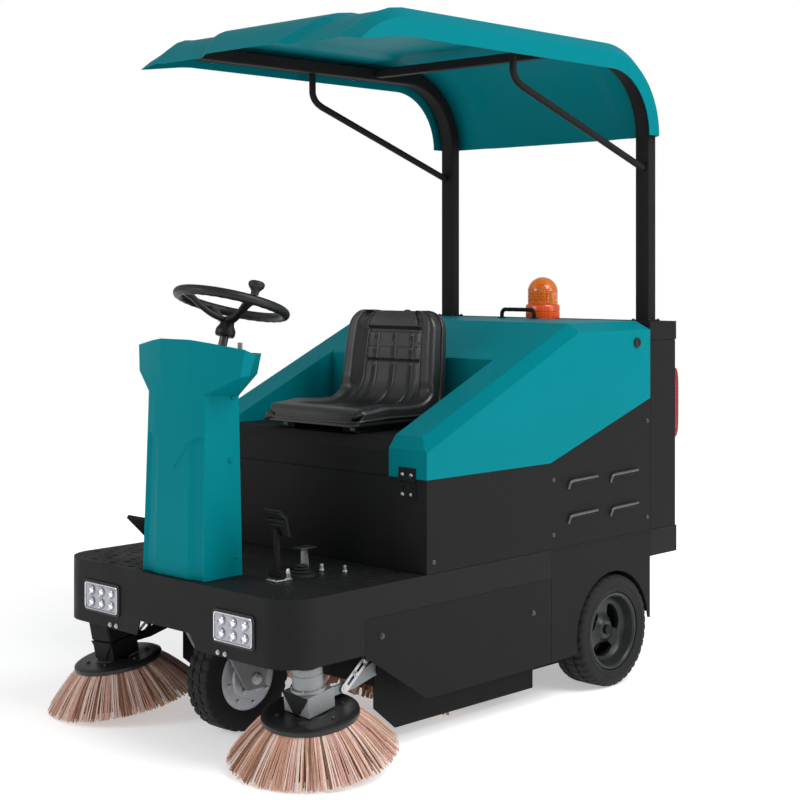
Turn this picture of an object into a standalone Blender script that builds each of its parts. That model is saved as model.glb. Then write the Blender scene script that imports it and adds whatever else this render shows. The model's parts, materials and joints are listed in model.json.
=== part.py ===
"""Ride-on sweeper with two side brushes, a tilting hood and a canopy.

Metres, +Z up. The front faces -Y and the driver's left is +X. Lengths along Y are measured back
from the deck's front face; the empty `machine` carries them into the model's own frame.
"""
import math

import bmesh
import bpy
from mathutils import Matrix, Vector

# Driving dimensions
HALF_WIDTH = 0.480          # deck, body and rear box
DECK_LENGTH = 1.656
FRONT_Y = -0.81638          # where the deck's front face lies in the model's frame
GAP = 0.0004                # between pieces that touch
SHEET = 0.004               # folded steel sheet

DECK_TOP = 0.449
DECK_PLATE = 0.005
FASCIA_BOTTOM = 0.277
SILL_BOTTOM = 0.368         # lower edge of the deck's side walls behind the fascia
CORNER_RADIUS = 0.095

SKIRT_FRONT = 0.262
SKIRT_REAR = 1.020
SKIRT_BOTTOM = 0.123
BODY_FRONT = 0.492
BODY_REAR = 1.512
HOOD_SEAM = 0.6985          # where the hood meets the body
RETURN_X = 0.350            # inner edge of the side panels' front returns

REAR_BOX_BACK = 1.650
REAR_BOX_TOP = 1.0370
LID_TOP = 1.095

ARM_INNER_X = 0.340         # inner faces of the hood's two arms
RECESS_BACK = 0.930         # wall behind the seat
SHELF_TOP = 0.797

WHEEL_Y = 1.320
WHEEL_RADIUS = 0.168
WHEEL_OUTER_X = 0.488
WHEEL_WIDTH = 0.122
ARCH_RADIUS = 0.180

FORK_Y = 0.130              # the fork's upright axis, ahead of the wheel it trails
FRONT_WHEEL_Y = 0.250
FRONT_RADIUS = 0.150
FRONT_HALF_TREAD = 0.045

HELM_CENTRE = Vector((0.0, 0.226, 1.163))
HELM_RADIUS = 0.1485
HELM_TUBE = 0.0140
HELM_TILT = math.radians(16.0)

BRUSH_X = 0.4035
BRUSH_Y = 0.1435
BRUSH_Z = 0.142
BRUSH_TILT = math.radians(10.0)
BRUSH_LEAN = math.radians(22.0)     # heading of the lean, from straight ahead towards the side
BRUSH_TIP_RADIUS = 0.2205
BRUSH_PLATE_RADIUS = 0.1255
BRISTLE_DROP = 0.1049               # along the brush's axis, from plate to tips
LIFT_Y = 0.372              # hinge of the side brushes' lifting arms
LIFT_Z = 0.225

BROOM_Y = 0.720
BROOM_Z = 0.142
BROOM_RADIUS = 0.138
BROOM_HALF = 0.350

POST_INNER_X = 0.389
POST_OUTER_X = 0.441
POST_FRONT = 1.560
POST_DEPTH = 0.040
BEND_CENTRE = (1.350, 1.679)        # of the frame's bend, as Y and Z
BEND_OUTER = 0.250
CANOPY_HALF = 0.460
RAIL_FRONT = 0.412          # front ends of the canopy frame's rails
LANE_TOP = 1.946            # the roof's flat lanes

HINGE_Y = 0.4865
HINGE_Z = 0.6950
HINGE_X = 0.410

COLLECTION = "ride_on_sweeper"


# Scene, materials and helpers

def clear_scene():
    for item in list(bpy.data.objects):
        bpy.data.objects.remove(item, do_unlink=True)


clear_scene()
parts = bpy.data.collections.new(COLLECTION)
cutters = bpy.data.collections.new("cutters")
for collection in (parts, cutters):
    bpy.context.scene.collection.children.link(collection)


def material(name, colour, roughness, metallic=0.0):
    made = bpy.data.materials.new(name)
    made.use_nodes = True
    shader = made.node_tree.nodes["Principled BSDF"]
    shader.inputs["Base Color"].default_value = (*colour, 1.0)
    shader.inputs["Roughness"].default_value = roughness
    shader.inputs["Metallic"].default_value = metallic
    return made


TEAL = material("teal_paint", (0.0, 0.26, 0.31), 0.35)
BLACK = material("black_powder_coat", (0.021, 0.021, 0.021), 0.5)
RUBBER = material("rubber", (0.015, 0.017, 0.016), 0.8)
VINYL = material("seat_vinyl", (0.012, 0.012, 0.012), 0.45)
STEEL = material("zinc_steel", (0.42, 0.45, 0.47), 0.35, 0.9)
CAST = material("cast_alloy", (0.30, 0.33, 0.35), 0.5, 0.6)
BRISTLE = material("bristle", (0.62, 0.36, 0.22), 0.85)
AMBER = material("amber_lens", (0.90, 0.24, 0.03), 0.15)
RED = material("red_lens", (0.50, 0.01, 0.015), 0.2)
CLEAR_LENS = material("clear_lens", (0.75, 0.75, 0.80), 0.1)
CASING = material("grey_casing", (0.10, 0.10, 0.11), 0.6)


def adopt(item, parent):
    """Hang item from parent, keeping its local placement."""
    item.parent = parent
    item.matrix_parent_inverse = Matrix.Identity(4)


def empty(name, location, rotation=(0.0, 0.0, 0.0), parent=None):
    made = bpy.data.objects.new(name, None)
    parts.objects.link(made)
    made.location = location
    made.rotation_euler = rotation
    if parent is not None:
        adopt(made, parent)
    return made


machine = empty("machine", (0.0, FRONT_Y, 0.0))


def axis_empty(name, place, rotation=(0.0, 0.0, 0.0), parent=None):
    return empty(name, place, rotation, parent or machine)


def smooth(item, angle=35.0):
    item.data.shade_smooth()
    item.data.set_sharp_from_angle(angle=math.radians(angle))


def new_object(name, mesh, look, location=(0.0, 0.0, 0.0), rotation=(0.0, 0.0, 0.0), parent=None):
    made = bpy.data.objects.new(name, mesh)
    parts.objects.link(made)
    made.location = location
    made.rotation_euler = rotation
    adopt(made, parent or machine)
    if look is not None:
        mesh.materials.clear()
        mesh.materials.append(look)
    return made


def from_bmesh(name, work, look, **place):
    mesh = bpy.data.meshes.new(name)
    bmesh.ops.recalc_face_normals(work, faces=work.faces[:])
    work.to_mesh(mesh)
    work.free()
    return new_object(name, mesh, look, **place)


def box(name, x, y, z, look, parent=None, origin=(0.0, 0.0, 0.0), rotation=(0.0, 0.0, 0.0)):
    """A box between the limits x, y and z, given from the origin that it is placed at."""
    work = bmesh.new()
    size = Vector((x[1] - x[0], y[1] - y[0], z[1] - z[0]))
    centre = Vector((sum(x) / 2, sum(y) / 2, sum(z) / 2))
    bmesh.ops.create_cube(work, size=1.0, matrix=Matrix.Translation(centre) @ Matrix.Diagonal((*size, 1.0)))
    return from_bmesh(name, work, look, location=origin, rotation=rotation, parent=parent)


AXES = {"x": (0.0, math.pi / 2, 0.0), "y": (-math.pi / 2, 0.0, 0.0), "z": (0.0, 0.0, 0.0)}


def cylinder(name, radius, length, centre, axis, look, parent=None, sides=24, radius_2=None):
    """A cylinder or cone about an axis, centred on a point of its parent's frame."""
    work = bmesh.new()
    bmesh.ops.create_cone(work, cap_ends=True, segments=sides, radius1=radius,
                          radius2=radius if radius_2 is None else radius_2, depth=length)
    made = from_bmesh(name, work, look, location=centre, rotation=AXES[axis], parent=parent)
    smooth(made)
    return made


def settle(item):
    """Put an object's modifiers and its placement under its parent into its mesh."""
    bpy.context.view_layer.update()
    evaluated = item.evaluated_get(bpy.context.evaluated_depsgraph_get())
    mesh = bpy.data.meshes.new_from_object(evaluated)
    mesh.transform(item.matrix_local)
    item.modifiers.clear()
    item.data = mesh
    item.matrix_local = Matrix.Identity(4)
    return item


def combine(target, tools, operation):
    """Join tools to target, or cut them from it. Every piece hangs from the same parent."""
    settle(target)
    for tool in tools:
        settle(tool)
        parts.objects.unlink(tool)
        cutters.objects.link(tool)
        tool.hide_render = True
        tool.display_type = "WIRE"
        joined = target.modifiers.new(operation.lower(), "BOOLEAN")
        joined.operation = operation
        joined.object = tool
        settle(target)
    return target


def cut(target, *tools):
    return combine(target, tools, "DIFFERENCE")


def join(target, *tools):
    return combine(target, tools, "UNION")


def move_origin(item, place):
    """Put the object's origin at a point of its parent's frame, without moving its shape."""
    settle(item)
    item.data.transform(Matrix.Translation(-Vector(place)))
    item.location = place
    return item


PLANES = {"yz": (math.pi / 2, 0.0, math.pi / 2), "xz": (math.pi / 2, 0.0, 0.0), "xy": (0.0, 0.0, 0.0)}
PLANE_OFFSET = {"yz": (1.0, 0.0, 0.0), "xz": (0.0, 1.0, 0.0), "xy": (0.0, 0.0, 1.0)}


def plate(name, outline, plane, low, high, look, parent=None):
    """A flat piece of one outline in a plane, between two offsets from that plane."""
    curve = bpy.data.curves.new(name + "_outline", "CURVE")
    curve.dimensions = "2D"
    curve.fill_mode = "BOTH"
    curve.extrude = (high - low) / 2
    spline = curve.splines.new("POLY")
    spline.points.add(len(outline) - 1)
    for point, (u, v) in zip(spline.points, outline):
        point.co = (u, v, 0.0, 1.0)
    spline.use_cyclic_u = True
    drawn = bpy.data.objects.new(name + "_outline", curve)
    parts.objects.link(drawn)
    bpy.context.view_layer.update()
    mesh = bpy.data.meshes.new_from_object(drawn.evaluated_get(bpy.context.evaluated_depsgraph_get()))
    bpy.data.objects.remove(drawn, do_unlink=True)
    work = bmesh.new()
    work.from_mesh(mesh)
    bmesh.ops.remove_doubles(work, verts=work.verts[:], dist=1e-6)
    offset = Vector(PLANE_OFFSET[plane]) * (low + high) / 2
    made = from_bmesh(name, work, look, location=offset, rotation=PLANES[plane], parent=parent)
    return settle(made)


def arc(centre, radius, start, end, steps):
    """Points on an arc, its angles in degrees from the first axis towards the second."""
    angles = [math.radians(start + (end - start) * i / steps) for i in range(steps + 1)]
    return [(centre[0] + radius * math.cos(a), centre[1] + radius * math.sin(a)) for a in angles]


def turned(name, profile, look, steps=32, parent=None, location=(0.0, 0.0, 0.0),
           rotation=(0.0, 0.0, 0.0), closed=False):
    """A profile of (radius, height) points, top to bottom on its outer side, turned about local Z."""
    mesh = bpy.data.meshes.new(name)
    work = bmesh.new()
    points = [work.verts.new((r, 0.0, z)) for r, z in profile]
    pairs = list(zip(points, points[1:]))
    if closed:
        pairs.append((points[-1], points[0]))
    for a, b in pairs:
        work.edges.new((a, b))
    work.to_mesh(mesh)
    work.free()
    made = new_object(name, mesh, look, location=location, rotation=rotation, parent=parent)
    screw = made.modifiers.new("turn", "SCREW")
    screw.steps = steps
    screw.render_steps = steps
    screw.use_merge_vertices = True
    screw.merge_threshold = 0.00005
    settle(made)
    smooth(made)
    return made


def round_bar(name, points, radius, look, parent=None, sides=3):
    """A round bar through points, with closed ends."""
    curve = bpy.data.curves.new(name + "_path", "CURVE")
    curve.dimensions = "3D"
    curve.bevel_depth = radius
    curve.bevel_resolution = sides
    curve.use_fill_caps = True
    spline = curve.splines.new("POLY")
    spline.points.add(len(points) - 1)
    for point, place in zip(spline.points, points):
        point.co = (*place, 1.0)
    drawn = bpy.data.objects.new(name + "_path", curve)
    parts.objects.link(drawn)
    bpy.context.view_layer.update()
    mesh = bpy.data.meshes.new_from_object(drawn.evaluated_get(bpy.context.evaluated_depsgraph_get()))
    bpy.data.objects.remove(drawn, do_unlink=True)
    work = bmesh.new()
    work.from_mesh(mesh)
    bmesh.ops.remove_doubles(work, verts=work.verts[:], dist=1e-6)
    made = from_bmesh(name, work, look, parent=parent)
    smooth(made)
    return made


def solidify(item, thickness, offset=-1.0):
    shell = item.modifiers.new("shell", "SOLIDIFY")
    shell.thickness = thickness
    shell.offset = offset
    shell.use_even_offset = True
    return settle(item)


def loft(name, rows, look, closed=False, parent=None):
    """An open surface through rows of points, each row as long as the last."""
    work = bmesh.new()
    grid = [[work.verts.new(point) for point in row] for row in rows]
    count = len(grid[0])
    for lower, upper in zip(grid, grid[1:]):
        for i in range(count if closed else count - 1):
            j = (i + 1) % count
            work.faces.new((lower[i], lower[j], upper[j], upper[i]))
    return from_bmesh(name, work, look, parent=parent)


def drop_faces(item, test):
    """Open a closed mesh by deleting each face whose centre and normal pass the test."""
    work = bmesh.new()
    work.from_mesh(item.data)
    gone = [face for face in work.faces if test(face.calc_center_median(), face.normal)]
    bmesh.ops.delete(work, geom=gone, context="FACES")
    work.to_mesh(item.data)
    work.free()
    return item


SIDES = (("left", 1.0), ("right", -1.0))


def span(side, low, high):
    """Limits along X for a piece on one side, from its limits on the left."""
    return (low, high) if side > 0 else (-high, -low)


# Chassis

def deck_outline(inset):
    """Plan of the deck, its two front corners rounded."""
    half = HALF_WIDTH - inset
    radius = CORNER_RADIUS - inset
    centre_x = HALF_WIDTH - CORNER_RADIUS
    outline = [(half, DECK_LENGTH - inset), (-half, DECK_LENGTH - inset)]
    outline += arc((-centre_x, CORNER_RADIUS), radius, 180.0, 270.0, 8)
    outline += arc((centre_x, CORNER_RADIUS), radius, 270.0, 360.0, 8)
    return outline


def make_chassis():
    deck = plate("chassis_deck", deck_outline(0.0), "xy", FASCIA_BOTTOM, DECK_TOP, BLACK)
    underside = DECK_TOP - DECK_PLATE
    hollow = plate("deck_hollow", deck_outline(DECK_PLATE), "xy", FASCIA_BOTTOM - 0.02, underside, None)
    sill = box("sill_cut", (-0.6, 0.6), (SKIRT_FRONT, 1.7), (0.2, SILL_BOTTOM), None)
    arch = box("arch_cut", (-0.6, 0.6), (SKIRT_REAR, BODY_REAR), (0.2, underside), None)
    notch = plate("notch_cut", [(-0.130, 0.26), (0.130, 0.26), (0.112, 0.317), (-0.112, 0.317)],
                  "xz", -0.02, 0.05, None)
    bore = cylinder("stem_bore", 0.024, 0.05, (0.0, FORK_Y, DECK_TOP), "z", None)
    lamps = [box("lamp_cut", span(s, 0.206, 0.352), (-0.02, 0.05), (0.3155, 0.3955), None) for _, s in SIDES]
    cut(deck, hollow, sill, arch, notch, bore, *lamps)
    hangers = []
    for _, s in SIDES:
        hangers.append(plate("side_member", [(1.035, 0.250), (1.150, 0.200), (1.260, 0.050), (1.380, 0.050),
                                             (1.480, 0.200), (1.645, 0.250), (1.645, underside + 0.001),
                                             (1.035, underside + 0.001)], "yz", *span(s, 0.350, 0.356), None))
        hangers.append(box("hopper_ledge", span(s, 0.322, 0.351), (1.260, 1.380), (0.050, 0.060 - GAP), None))
        stub = cylinder("stub", 0.014, 0.108, (s * 0.4075, WHEEL_Y, WHEEL_RADIUS), "x", None)
        hangers.append(stub)
        hangers.append(box("lift_hanger", span(s, 0.4295, 0.4345), (LIFT_Y - 0.020, LIFT_Y + 0.020),
                           (LIFT_Z - 0.020, underside + 0.001), None))
        hangers.append(cylinder("lift_pin", 0.0078, 0.018, (s * 0.4225, LIFT_Y, LIFT_Z), "x", None, sides=20))
    return join(deck, *hangers)


def make_lower_panels():
    for name, s in SIDES:
        x = span(s, HALF_WIDTH - SHEET, HALF_WIDTH)
        top = SILL_BOTTOM - GAP
        plate("skirt_panel_" + name,
              [(SKIRT_FRONT + GAP, top), (SKIRT_REAR - GAP, top), (SKIRT_REAR - GAP, SKIRT_BOTTOM),
               (0.494, SKIRT_BOTTOM), (SKIRT_FRONT + GAP, 0.272)], "yz", *x, BLACK)
        arch = arc((WHEEL_Y, WHEEL_RADIUS), ARCH_RADIUS, 4.0, 193.0, 14)
        plate("arch_panel_" + name,
              [(SKIRT_REAR + GAP, DECK_TOP - DECK_PLATE - GAP), (BODY_REAR - GAP, DECK_TOP - DECK_PLATE - GAP),
               (BODY_REAR - GAP, 0.178)] + arch + [(SKIRT_REAR + GAP, SKIRT_BOTTOM)], "yz", *x, BLACK)


def make_body():
    floor = DECK_TOP + GAP
    for name, s in SIDES:
        x = span(s, HALF_WIDTH - SHEET, HALF_WIDTH)
        panel = plate("side_panel_" + name,
                      [(BODY_FRONT, floor), (BODY_REAR - GAP, floor), (BODY_REAR - GAP, 0.8585),
                       (1.015, HOOD_SEAM), (BODY_FRONT, HOOD_SEAM)], "yz", *x, BLACK)
        added = [box("return", span(s, RETURN_X + GAP, HALF_WIDTH - 0.001), (BODY_FRONT, BODY_FRONT + SHEET),
                     (floor, HOOD_SEAM), None)]
        for y in (1.108, 1.314):
            for z in (0.536, 0.637):
                outer = HALF_WIDTH + 0.006
                added.append(box("louvre", span(s, HALF_WIDTH - 0.002, outer), (y, y + 0.128), (z, z + 0.010), None))
        join(panel, *added)
    box("front_panel", (-RETURN_X, RETURN_X), (BODY_FRONT, BODY_FRONT + SHEET), (floor, HOOD_SEAM), BLACK)


def make_rear_box():
    front = BODY_REAR + GAP
    floor = DECK_TOP + GAP
    walls = box("rear_box", (-HALF_WIDTH, HALF_WIDTH), (front, REAR_BOX_BACK), (floor, REAR_BOX_TOP), BLACK)
    well = box("rear_well", (-HALF_WIDTH + SHEET, HALF_WIDTH - SHEET), (front + SHEET, REAR_BOX_BACK - SHEET),
               (floor - 0.01, REAR_BOX_TOP + 0.01), None)
    cut(walls, well)
    lid = box("rear_box_lid", (-HALF_WIDTH, HALF_WIDTH), (front, REAR_BOX_BACK + 0.006),
              (REAR_BOX_TOP + GAP, LID_TOP), BLACK)
    inside = box("lid_well", (-HALF_WIDTH + SHEET, HALF_WIDTH - SHEET), (front + SHEET, REAR_BOX_BACK + 0.002),
                 (REAR_BOX_TOP - 0.01, LID_TOP - SHEET), None)
    slots = []
    for _, s in SIDES:
        slots.append(box("post_slot", span(s, POST_INNER_X - 0.001, POST_OUTER_X + 0.001),
                         (POST_FRONT - 0.001, POST_FRONT + POST_DEPTH + 0.001), (1.0, 1.2), None))
    cut(lid, inside, *slots)
    for name, s in SIDES:
        lamp = box("tail_light_" + name, span(s, 0.425, 0.472), (REAR_BOX_BACK + GAP, 1.690), (0.716, 0.956), RED)
        round_edges(lamp, 0.006)


def round_edges(item, width, segments=2):
    bevel = item.modifiers.new("round", "BEVEL")
    bevel.width = width
    bevel.segments = segments
    settle(item)
    smooth(item, 40.0)
    return item


# Hood, seat and what rides on them

hood_axis = axis_empty("hood_axis", (0.0, HINGE_Y, HINGE_Z))
seat_axis = axis_empty("seat_axis", (0.0, 0.675, SHELF_TOP))


def make_hood():
    """The hood in one moulding: two sloping arms beside the seat, and the cover behind it."""
    seam = HOOD_SEAM + GAP
    profile = [(BODY_FRONT, seam), (1.015, seam), (BODY_REAR, 0.8590), (BODY_REAR, 1.070), (1.490, 1.098),
               (1.150, 1.098), (1.133, 1.090), (0.519, 0.809), (BODY_FRONT, 0.775)]
    hood = plate("hood_cover", profile, "yz", -HALF_WIDTH, HALF_WIDTH, TEAL)
    recess = plate("recess", [(0.40, 0.60), (RECESS_BACK, 0.60), (RECESS_BACK, 0.995), (1.150, 1.120),
                              (1.150, 1.30), (0.40, 1.30)], "yz", -ARM_INNER_X, ARM_INNER_X, None)
    bevels = []
    run = Vector((0.0, 1.133 - 0.519, 1.090 - 0.809)).normalized()
    for _, s in SIDES:
        across = Vector((s * 0.040, 0.0, -0.026)).normalized()
        out = run.cross(across) * (1.0 if run.cross(across).z > 0 else -1.0)
        bevels.append(slab_over(Vector((s * 0.440, 0.519, 0.809)), run, across, out))
        flat_out = Vector((s * 0.026, 0.0, 0.040)).normalized()
        bevels.append(slab_over(Vector((s * 0.440, 1.30, 1.098)), Vector((0.0, 1.0, 0.0)), across, flat_out))
    cut(hood, recess, *bevels)
    drop_faces(hood, lambda centre, normal: normal.z < -0.9 and centre.z < 0.87)
    solidify(hood, SHEET)
    adopt_keeping(hood, hood_axis)


def slab_over(corner, run, across, out):
    """A slab lying on the plane through corner, spanned by run and across, on its outer side."""
    work = bmesh.new()
    bmesh.ops.create_cube(work, size=1.0)
    turn = Matrix((across, run, out)).transposed().to_4x4()
    size = Matrix.Diagonal((0.16, 1.6, 0.08, 1.0))
    lift = Matrix.Translation(corner + out * 0.04)
    bmesh.ops.transform(work, matrix=lift @ turn @ size, verts=work.verts[:])
    return from_bmesh("edge_slab", work, None)


def adopt_keeping(item, parent):
    """Hang a settled piece of the machine's frame from one of its axes, where it stands."""
    bpy.context.view_layer.update()
    item.data.transform(parent.matrix_local.inverted())
    adopt(item, parent)
    item.matrix_local = Matrix.Identity(4)
    return item


def make_shelf_and_seat():
    seam = HOOD_SEAM + GAP
    x = (-ARM_INNER_X + GAP, ARM_INNER_X - GAP)
    back = RECESS_BACK - GAP
    shelf = plate("seat_shelf", [(BODY_FRONT, seam), (back, seam), (back, SHELF_TOP), (0.520, SHELF_TOP),
                                 (BODY_FRONT, 0.766)], "yz", *x, BLACK)
    drop_faces(shelf, lambda centre, normal: normal.z < -0.9)
    solidify(shelf, SHEET)
    rails = [box("rail", span(s, 0.100, 0.130), (0.550, 0.830), (SHELF_TOP - 0.001, 0.812 - GAP), None)
             for _, s in SIDES]
    join(shelf, *rails)
    adopt_keeping(shelf, hood_axis)

    outline = [(0.535, 0.812), (0.855, 0.812)]
    outline += [(0.905, 0.860), (0.928, 1.105)]
    outline += arc((0.901, 1.114), 0.027, 10.0, 170.0, 6)
    outline += [(0.842, 0.940), (0.815, 0.884), (0.560, 0.878)]
    outline += arc((0.540, 0.850), 0.028, 90.0, 180.0, 4)
    outline += [(0.514, 0.828)]
    seat = plate("seat_cushion", outline, "yz", -0.200, 0.200, VINYL)
    for corner in seat.data.vertices:
        if corner.co.z > 0.90:
            corner.co.x *= 1.0 - 0.44 * (corner.co.z - 0.90)
    round_edges(seat, 0.010, 2)
    move_origin(seat, seat_axis.location)
    seat.location = (0.0, 0.0, 0.0)
    adopt(seat, seat_axis)
    keep = seat_axis.matrix_local.copy()
    adopt(seat_axis, hood_axis)
    seat_axis.matrix_local = hood_axis.matrix_local.inverted() @ keep


def make_hinges():
    face = BODY_FRONT - GAP
    leaf = (face - 0.003, face)
    for name, s in SIDES:
        middle = span(s, 0.3945, 0.4255)
        lower = box("hinge_lower_" + name, span(s, 0.379, 0.441), leaf, (0.644, 0.688), BLACK)
        tab = box("tab", middle, leaf, (0.687, 0.695), None)
        barrel = cylinder("barrel", 0.0049, 0.031, (s * HINGE_X, HINGE_Y, HINGE_Z), "x", None, sides=20)
        bore = cylinder("bore", 0.0024, 0.080, (s * HINGE_X, HINGE_Y, HINGE_Z), "x", None, sides=16)
        screws = [cylinder("screw", 0.006, 0.003, (s * (HINGE_X + x), leaf[0] - 0.001, z), "y", None, sides=12)
                  for x in (-0.017, 0.017) for z in (0.656, 0.673)]
        join(lower, tab, barrel, *screws)
        cut(lower, bore)

        upper = box("hinge_upper_" + name, span(s, 0.379, 0.441), leaf, (0.702, 0.727), BLACK)
        pieces = [cylinder("pin", 0.0019, 0.061, (s * HINGE_X, HINGE_Y, HINGE_Z), "x", None, sides=16)]
        for low, high in ((0.379, 0.3940), (0.4260, 0.441)):
            pieces.append(box("tab", span(s, low, high), leaf, (0.695, 0.703), None))
            pieces.append(cylinder("knuckle", 0.0049, high - low, (s * (low + high) / 2, HINGE_Y, HINGE_Z),
                                   "x", None, sides=20))
        pieces += [cylinder("screw", 0.006, 0.003, (s * (HINGE_X + x), leaf[0] - 0.001, 0.715), "y", None, sides=12)
                   for x in (-0.017, 0.017)]
        join(upper, *pieces)
        adopt_keeping(upper, hood_axis)


def make_hood_fittings():
    top = LID_TOP + 0.003 + GAP
    handle = round_bar("hood_handle", [(-0.068, 1.450, top), (-0.068, 1.450, top + 0.018), (-0.058, 1.450, top + 0.028),
                                       (0.058, 1.450, top + 0.028), (0.068, 1.450, top + 0.018),
                                       (0.068, 1.450, top)], 0.007, BLACK)
    adopt_keeping(handle, hood_axis)
    place = Vector((HALF_WIDTH + GAP, 1.440, 1.033)) - hood_axis.location
    lock_axis = empty("hood_lock_axis", place, parent=hood_axis)
    lock = cylinder("hood_lock", 0.015, 0.008, (0.004, 0.0, 0.0), "x", BLACK, parent=lock_axis)
    slot = box("key_slot", (0.004, 0.02), (-0.002, 0.002), (-0.008, 0.008), None, parent=lock_axis)
    cut(lock, slot)


def make_beacon():
    foot = LID_TOP + GAP
    turned("beacon_base", [(0.0, 0.0475), (0.0545, 0.0475), (0.057, 0.044), (0.057, 0.0), (0.0, 0.0)],
           AMBER, location=(0.0, 1.580, foot))
    outer = [(0.050, 0.0)] + [(0.050 * math.cos(math.radians(a)), 0.040 + 0.050 * math.sin(math.radians(a)))
                              for a in range(0, 90, 15)] + [(0.0, 0.090)]
    inner = [(0.0, 0.087)] + [(0.047 * math.cos(math.radians(a)), 0.040 + 0.047 * math.sin(math.radians(a)))
                              for a in range(75, -1, -15)] + [(0.047, 0.0)]
    turned("beacon_lens", (outer + inner)[::-1], AMBER, location=(0.0, 1.580, foot + 0.0475 + GAP), closed=True,
           steps=20)


# Canopy

def make_canopy_frame():
    bend_y, bend_z = BEND_CENTRE
    foot = LID_TOP + GAP
    outline = [(POST_FRONT + POST_DEPTH, foot)]
    outline += arc(BEND_CENTRE, BEND_OUTER, 0.0, 90.0, 12) + [(0.455, bend_z + BEND_OUTER)]
    outline += [(RAIL_FRONT, bend_z + BEND_OUTER - 0.016), (RAIL_FRONT, bend_z + BEND_OUTER - POST_DEPTH)]
    outline += arc(BEND_CENTRE, BEND_OUTER - POST_DEPTH, 90.0, 0.0, 12) + [(POST_FRONT, foot)]
    rail = bend_z + BEND_OUTER - POST_DEPTH
    for name, s in SIDES:
        plate("canopy_frame_" + name, outline, "yz", *span(s, POST_INNER_X, POST_OUTER_X), BLACK)
        x = s * 0.420
        round_bar("canopy_brace_" + name,
                  [(x, 0.920, rail - GAP), (x, 0.920, 1.826), (x, 0.930, 1.806), (x, 0.955, 1.788),
                   (x, 0.985, 1.777), (x, 1.5555, 1.578)], 0.011, BLACK)
    reach = POST_INNER_X - GAP
    box("canopy_cross_tube", (-reach, reach), (1.175, 1.205), (rail + 0.008, rail + 0.036), BLACK)


def make_canopy_roof():
    """Sheet roof: a visor, a raised middle between two flat lanes, folded sides, bent down over the rear."""
    # Each row: lane's Y, Z and lean; fold's Y and Z; skirt's Y and Z; half widths of middle, lane and fold.
    sections = [
            (0.265, 1.8570, 40.0, 0.268, 1.848, 0.2665, 1.8455, 0.150, 0.180, 0.385),
            (0.297, 1.8810, 38.0, 0.301, 1.873, 0.300, 1.8500, 0.172, 0.206, 0.396),
            (0.333, 1.9070, 34.0, 0.339, 1.894, 0.338, 1.8555, 0.197, 0.234, 0.408),
            (0.369, 1.9280, 25.0, 0.378, 1.909, 0.377, 1.8610, 0.219, 0.260, 0.419),
            (0.405, 1.9405, 14.0, 0.412, 1.916, 0.412, 1.8660, 0.235, 0.278, 0.427),
            (0.450, LANE_TOP, 0.0, 0.450, 1.920, 0.450, 1.8690, 0.240, 0.285, 0.430),
            (1.350, LANE_TOP, 0.0, 1.350, 1.920, 1.350, 1.8690, 0.240, 0.285, 0.430)]
    centre_y, centre_z = BEND_CENTRE
    lane_radius = LANE_TOP - centre_z
    for i in range(1, 11):
        a = math.radians(90.0 - 9.0 * i)
        lane_at, fold_at, skirt_at = [(centre_y + r * math.cos(a), centre_z + r * math.sin(a))
                                      for r in (lane_radius, 0.241, 0.190)]
        sections.append((*lane_at, -9.0 * i, *fold_at, *skirt_at, 0.240, 0.285, 0.430))
    rows = []
    for y, z, lean, fold_y, fold_z, skirt_y, skirt_z, middle, lane, edge in sections:
        across, up = -math.sin(math.radians(lean)), math.cos(math.radians(lean))
        right = [(CANOPY_HALF - 0.001, skirt_y, skirt_z), (CANOPY_HALF, fold_y, fold_z)]
        right += [(x, y + across * h, z + up * h)
                  for x, h in ((edge, 0.004), (edge - 0.03, 0.0), (lane, 0.0), (middle, 0.0115))]
        rows.append([(-px, py, pz) for px, py, pz in right] + right[::-1])
    roof = loft("canopy_roof", rows, TEAL)
    solidify(roof, 0.003, inward_offset(roof))


def inward_offset(item):
    """Which way a sheet thickens so that its outer face stays: towards its own middle."""
    up = sum(face.normal.z * face.area for face in item.data.polygons)
    return -1.0 if up > 0 else 1.0


# Column, steering and the front wheel

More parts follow.
